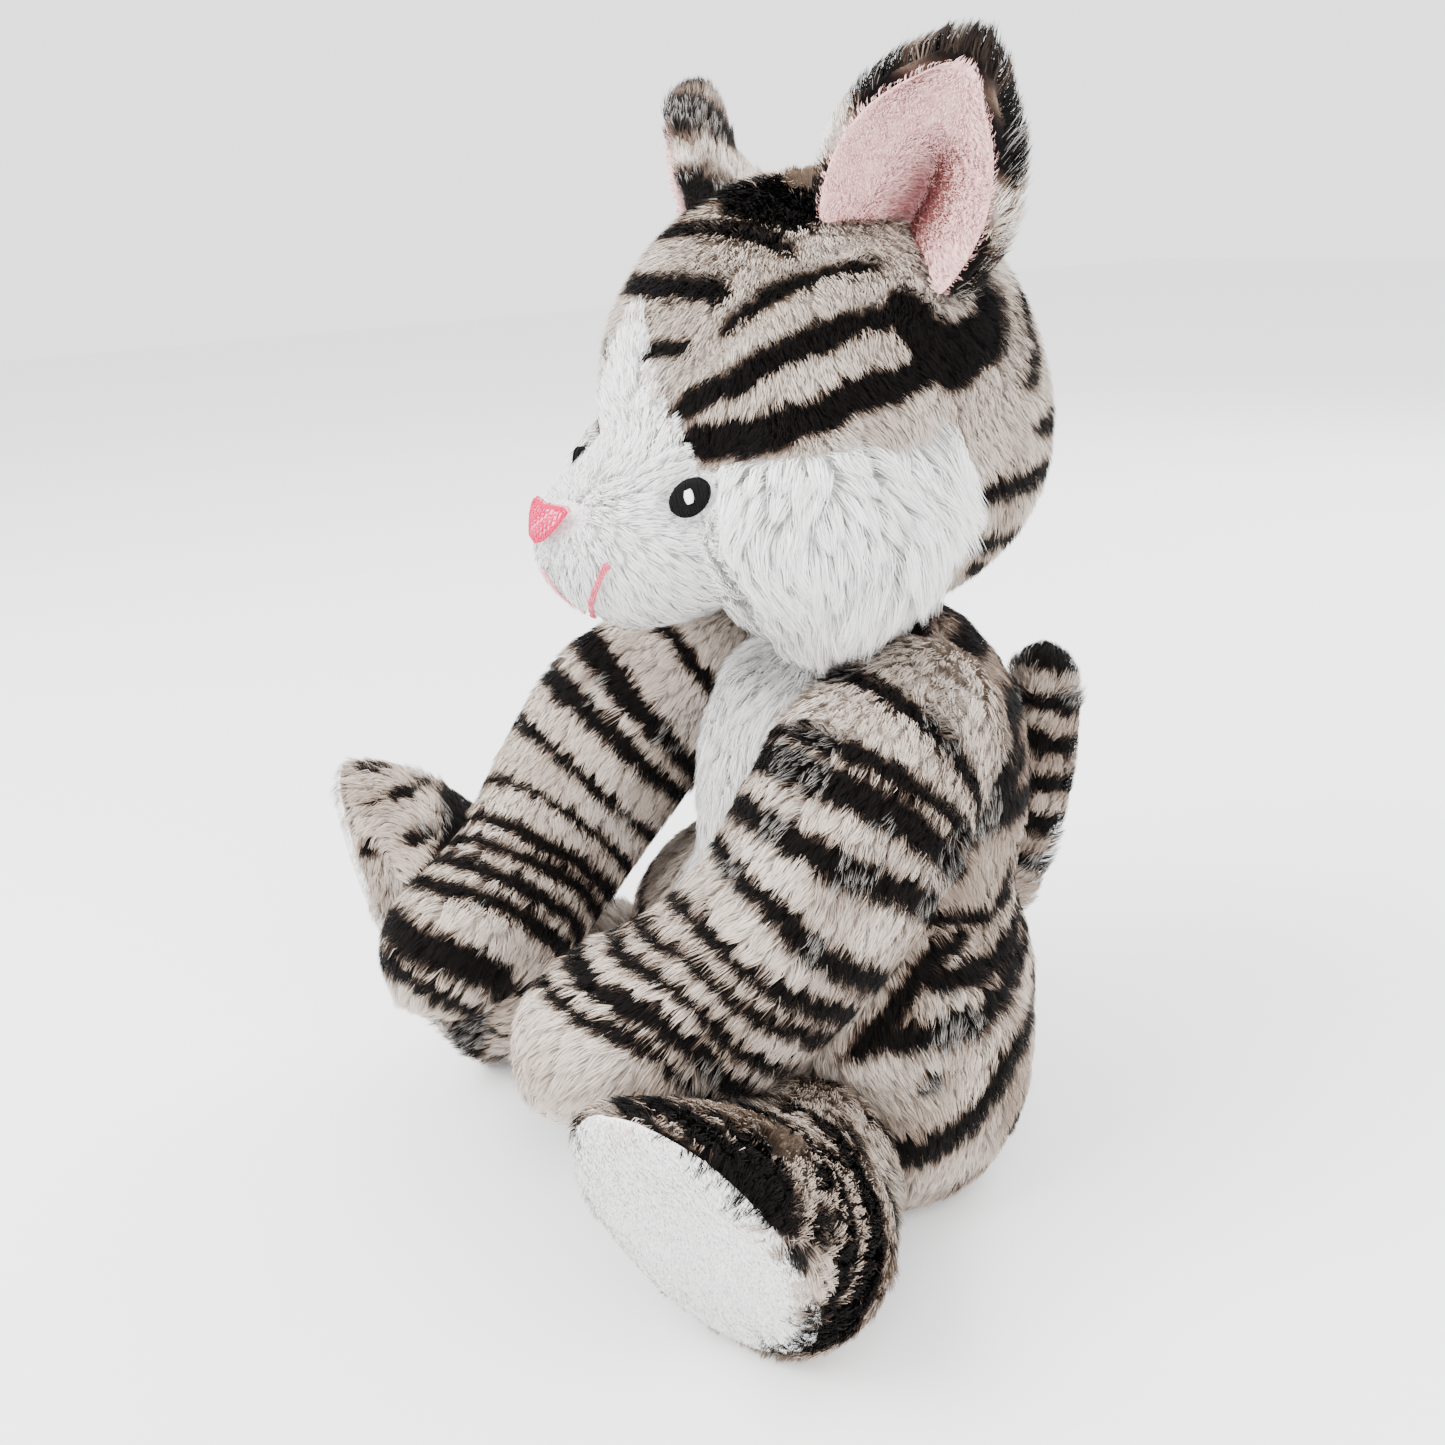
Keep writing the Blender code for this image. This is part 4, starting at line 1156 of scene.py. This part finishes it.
def build_leg(side, tag):
    root = joint_place(f"leg_{tag}_spread")
    limb = Limb(f"leg_filling_{tag}", root, side, centre_of(f"sole_{tag}"))
    skin = grown(f"leg_padded_{tag}", f"leg_filling_{tag}", 3.0, BACKING)
    body = f"leg_{tag}"
    cushion(skin, body, 0.6, f"leg_skin_{tag}", f"leg_filling_{tag}")
    limb_pile(f"leg_pile_{tag}", body, skin, limb, LEG_RINGS, 40 + side,
              ground=BEIGE - 0.06, droop=0.5, mottle=0.3)
    sole = softened(f"sole_padded_{tag}", f"sole_{tag}", SOLE)
    cushion(sole, body, 0.7, f"sole_{tag}")
    rng = np.random.default_rng(50 + side)
    facing = unit(np.array(centre_of(f"sole_{tag}")) - root)
    root_points, normal = scattered(sole, 4.0, rng, normals(sole) @ facing > -0.2)
    comb = flattened(np.array([0.3 * side, 0.0, -1.0]), normal)
    comb = swirled(comb, normal, root_points, 0.5, 23)
    shade = np.full(len(root_points), WHITE)
    pile(f"sole_pile_{tag}", body, root_points, normal, comb, shade, SOLE_PILE, rng,
         lean=(58.0, 84.0), width=0.34, clump=0.25, spacing=2.0)


def build_tail():
    root = joint_place("tail_swing")
    limb = Limb("tail_filling", root, 1)
    skin = grown("tail_padded", "tail_filling", 2.8, BACKING, voxel=2.5, smooth=3)
    cushion(skin, "tail", 0.6, "tail_skin", "tail_filling")
    rings = [(3.6, place, 1, 0) for place in range(12, 90, 14)]
    limb_pile("tail_pile", "tail", skin, limb, rings, 60, ground=BEIGE - 0.12)


NECK_FRONT = 60.0  # degrees to either side of the front that are white
NECK_PILE = 5.0


def build_neck():
    skin = grown("neck_padded", "neck_filling", 2.0, BACKING, voxel=2.5)
    cushion(skin, "neck", 0.6, "neck_filling")
    rng = np.random.default_rng(65)
    root, normal = scattered(skin, FIBRES_PER_MM2, rng)

    def shade_at(p):
        front = np.abs(torso_angles(p)[0]) < NECK_FRONT
        return np.where(front, BELLY, BEIGE + 0.3 * waves(p, 12.0, 66) - 0.15)

    comb = flattened(np.array([0.0, 0.0, -1.0]), normal)
    pile("neck_pile", "neck", root, normal, comb, shade_at, NECK_PILE, rng)
    set_shade(skin, shade_at)


EAR_BANDS = [  # (share of the height, shade) up the outside of the ear
    (0.00, BLACK),
    (0.30, BLACK),
    (0.42, 0.74),
    (0.52, 0.74),
    (0.62, BLACK),
    (0.74, BLACK),
    (0.84, GREY),
    (0.92, 0.12),
    (1.00, 0.12),
]
PLEAT_DEPTH = 11.5
PLEAT_WIDTH = 5.6
PLEAT_TOP = 0.68  # share of the height where the pleat runs out


class Ear:
    """Directions of one ear: up to its tip, out of its pink front, across it."""

    def __init__(self, side, tag):
        self.side = side
        self.base = joint_place(f"ear_{tag}_fold")
        front, back = centre_of(f"ear_lining_{tag}"), centre_of(f"ear_back_{tag}")
        co = places(NODES[f"ear_back_{tag}"])
        tip = co[co[:, 2].argmax()]
        self.up = unit(tip - self.base)
        facing = np.array([0.75 * side, -0.65, 0.0]) + (front - back) * 10.0
        self.out = flattened(facing[None], self.up[None])[0]
        self.across = np.cross(self.up, self.out)
        self.height = (tip - self.base) @ self.up

    def share(self, p):
        return (p - self.base) @ self.up / self.height

    def crease(self, p):
        """From 0 away from the pleat to 1 along it; it rises from the middle of the ear's base."""
        share = self.share(p)
        drift = 7.0 * np.clip(share, 0.0, 1.0) * MM * self.side
        gap = ((p - self.base) @ self.across - drift) / (PLEAT_WIDTH * MM)
        fade = np.clip((PLEAT_TOP - share) / 0.35, 0.0, 1.0) * np.clip((share + 0.1) / 0.15, 0.0, 1.0)
        return np.exp(-(gap**2)) * fade * fade * (3 - 2 * fade)

    def pleated(self, p):
        return p - self.out * (PLEAT_DEPTH * MM * self.crease(p))[:, None]


def softened(name, node_name, mat):
    """A finer, rounder copy of one CAD panel."""
    obj = copied(name, node_name, mat)
    return with_modifier(obj, "SUBSURF", levels=2, render_levels=2)


def uncovered(obj, cover):
    """Which corners of a mesh have no other mesh close over them."""
    over = tree(cover)
    near = 4.0 * MM
    looks = [(Vector(p + n * 0.05 * MM), Vector(n)) for p, n in zip(places(obj), normals(obj))]
    return np.array([over.ray_cast(start, way, near)[0] is None for start, way in looks])


def build_ear(side, tag):
    body = f"ear_{tag}"
    ear = Ear(side, tag)
    back = softened(f"ear_fur_back_{tag}", f"ear_back_{tag}", BACKING)
    lining = softened(f"ear_pink_front_{tag}", f"ear_lining_{tag}", LINING)
    for obj, node_name in ((back, f"ear_back_{tag}"), (lining, f"ear_lining_{tag}")):
        put(obj, ear.pleated(places(obj)))
        cushion(obj, body, 0.4, node_name)
    rng = np.random.default_rng(70 + side)
    root, normal = scattered(back, FIBRES_PER_MM2 * 1.3, rng, uncovered(back, lining))
    comb = swirled(flattened(ear.up + 0.25 * unit(root - ear.base), normal), normal, root, 0.35, 24)
    share = ear.share(root) + 0.05 * waves(root, 16.0, 71)
    shade = np.interp(share, *zip(*EAR_BANDS)) + 0.1 * waves(root, 10.0, 72)
    frost = (waves(root, 14.0, 73) > 0.1) * (rng.random(len(root)) < 0.5)
    inner = np.clip(0.5 - (root - ear.base) @ np.array([side, 0.0, 0.0]) / (22.0 * MM), 0.0, 1.0)
    length = EAR_PILE * (1.0 - 0.7 * inner)
    pile(f"ear_pile_{tag}", body, root, normal, comb, shade, length, rng, lean=(32.0, 66.0), frost=frost)
    set_shade(back, lambda p: np.interp(ear.share(p), *zip(*EAR_BANDS)))
    root, normal = scattered(lining, 4.0, rng, uncovered(lining, back))
    comb = swirled(flattened(ear.up, normal), normal, root, 0.8, 25)
    # The pink pile is darkened along the pleat: painted shade in the crease.
    shade = np.clip(0.85 - 1.0 * ear.crease(root) + 0.08 * waves(root, 8.0, 74), 0.0, 1.0)
    pile(f"ear_minky_{tag}", body, root, normal, comb, shade, LINING_PILE, rng, lean=(30.0, 60.0),
         width=0.34, clump=0.3, spacing=1.8, mat=PINK_PILE)


# ---------------------------------------------------------------- room, light and camera
WORLD_LIGHT = 2.3


def build_stage():
    floor_mat, _, shader = new_material("pale_floor", 0.9)
    shader.inputs["Base Color"].default_value = (0.93, 0.93, 0.93, 1.0)
    floor = add_mesh("floor", [(-4, -4, 0), (4, -4, 0), (4, 4, 0), (-4, 4, 0)], [(0, 1, 2, 3)], floor_mat)
    world = bpy.data.worlds.new("studio")
    world.use_nodes = True
    world.node_tree.nodes["Background"].inputs["Color"].default_value = (1.0, 1.0, 1.0, 1.0)
    world.node_tree.nodes["Background"].inputs["Strength"].default_value = WORLD_LIGHT
    bpy.context.scene.world = world
    for name, place, size, power in (
        ("key", (-0.1, -1.1, 1.3), 1.0, 52.0),
        ("side", (1.1, -0.2, 0.9), 1.2, 20.0),
        ("back", (-0.4, 1.1, 1.0), 1.0, 18.0),
    ):
        lamp = bpy.data.lights.new(name, "AREA")
        lamp.energy, lamp.size = power, size
        obj = bpy.data.objects.new(name, lamp)
        obj.location = place
        aim = Vector((0.0, -0.02, 0.16)) - Vector(place)
        obj.rotation_euler = aim.to_track_quat("-Z", "Y").to_euler()
        bpy.context.scene.collection.objects.link(obj)


PHOTO_ANGLES = (62.2, 19.1, -3.27)  # yaw to the cat's left, pitch down, roll
PHOTO_LENS = 37.4  # mm, on a sensor 36 mm wide
PHOTO_PLACE = (0.37435, -0.24367, 0.28826)  # m


def build_camera():
    """The photograph's view: from the cat's left front, a little above it."""
    yaw, pitch, roll = (math.radians(a) for a in PHOTO_ANGLES)
    ahead = np.array([-math.sin(yaw) * math.cos(pitch), math.cos(yaw) * math.cos(pitch), -math.sin(pitch)])
    right = np.array([math.cos(yaw), math.sin(yaw), 0.0])
    up = np.cross(right, ahead)
    right, up = (
        right * math.cos(roll) + up * math.sin(roll),
        -right * math.sin(roll) + up * math.cos(roll),
    )
    data = bpy.data.cameras.new("photo")
    data.sensor_width = 36.0
    data.lens = PHOTO_LENS
    data.clip_start = 0.01
    cam = bpy.data.objects.new("photo", data)
    axes = np.stack([right, up, -ahead], 1)
    cam.matrix_world = Matrix.Translation(PHOTO_PLACE) @ Matrix(axes.tolist()).to_4x4()
    bpy.context.scene.collection.objects.link(cam)
    bpy.context.scene.camera = cam


build_stage()
build_camera()
build_head()
build_torso()
build_neck()
for side, tag in ((1, "left"), (-1, "right")):
    build_arm(side, tag)
    build_leg(side, tag)
    build_ear(side, tag)
build_tail()
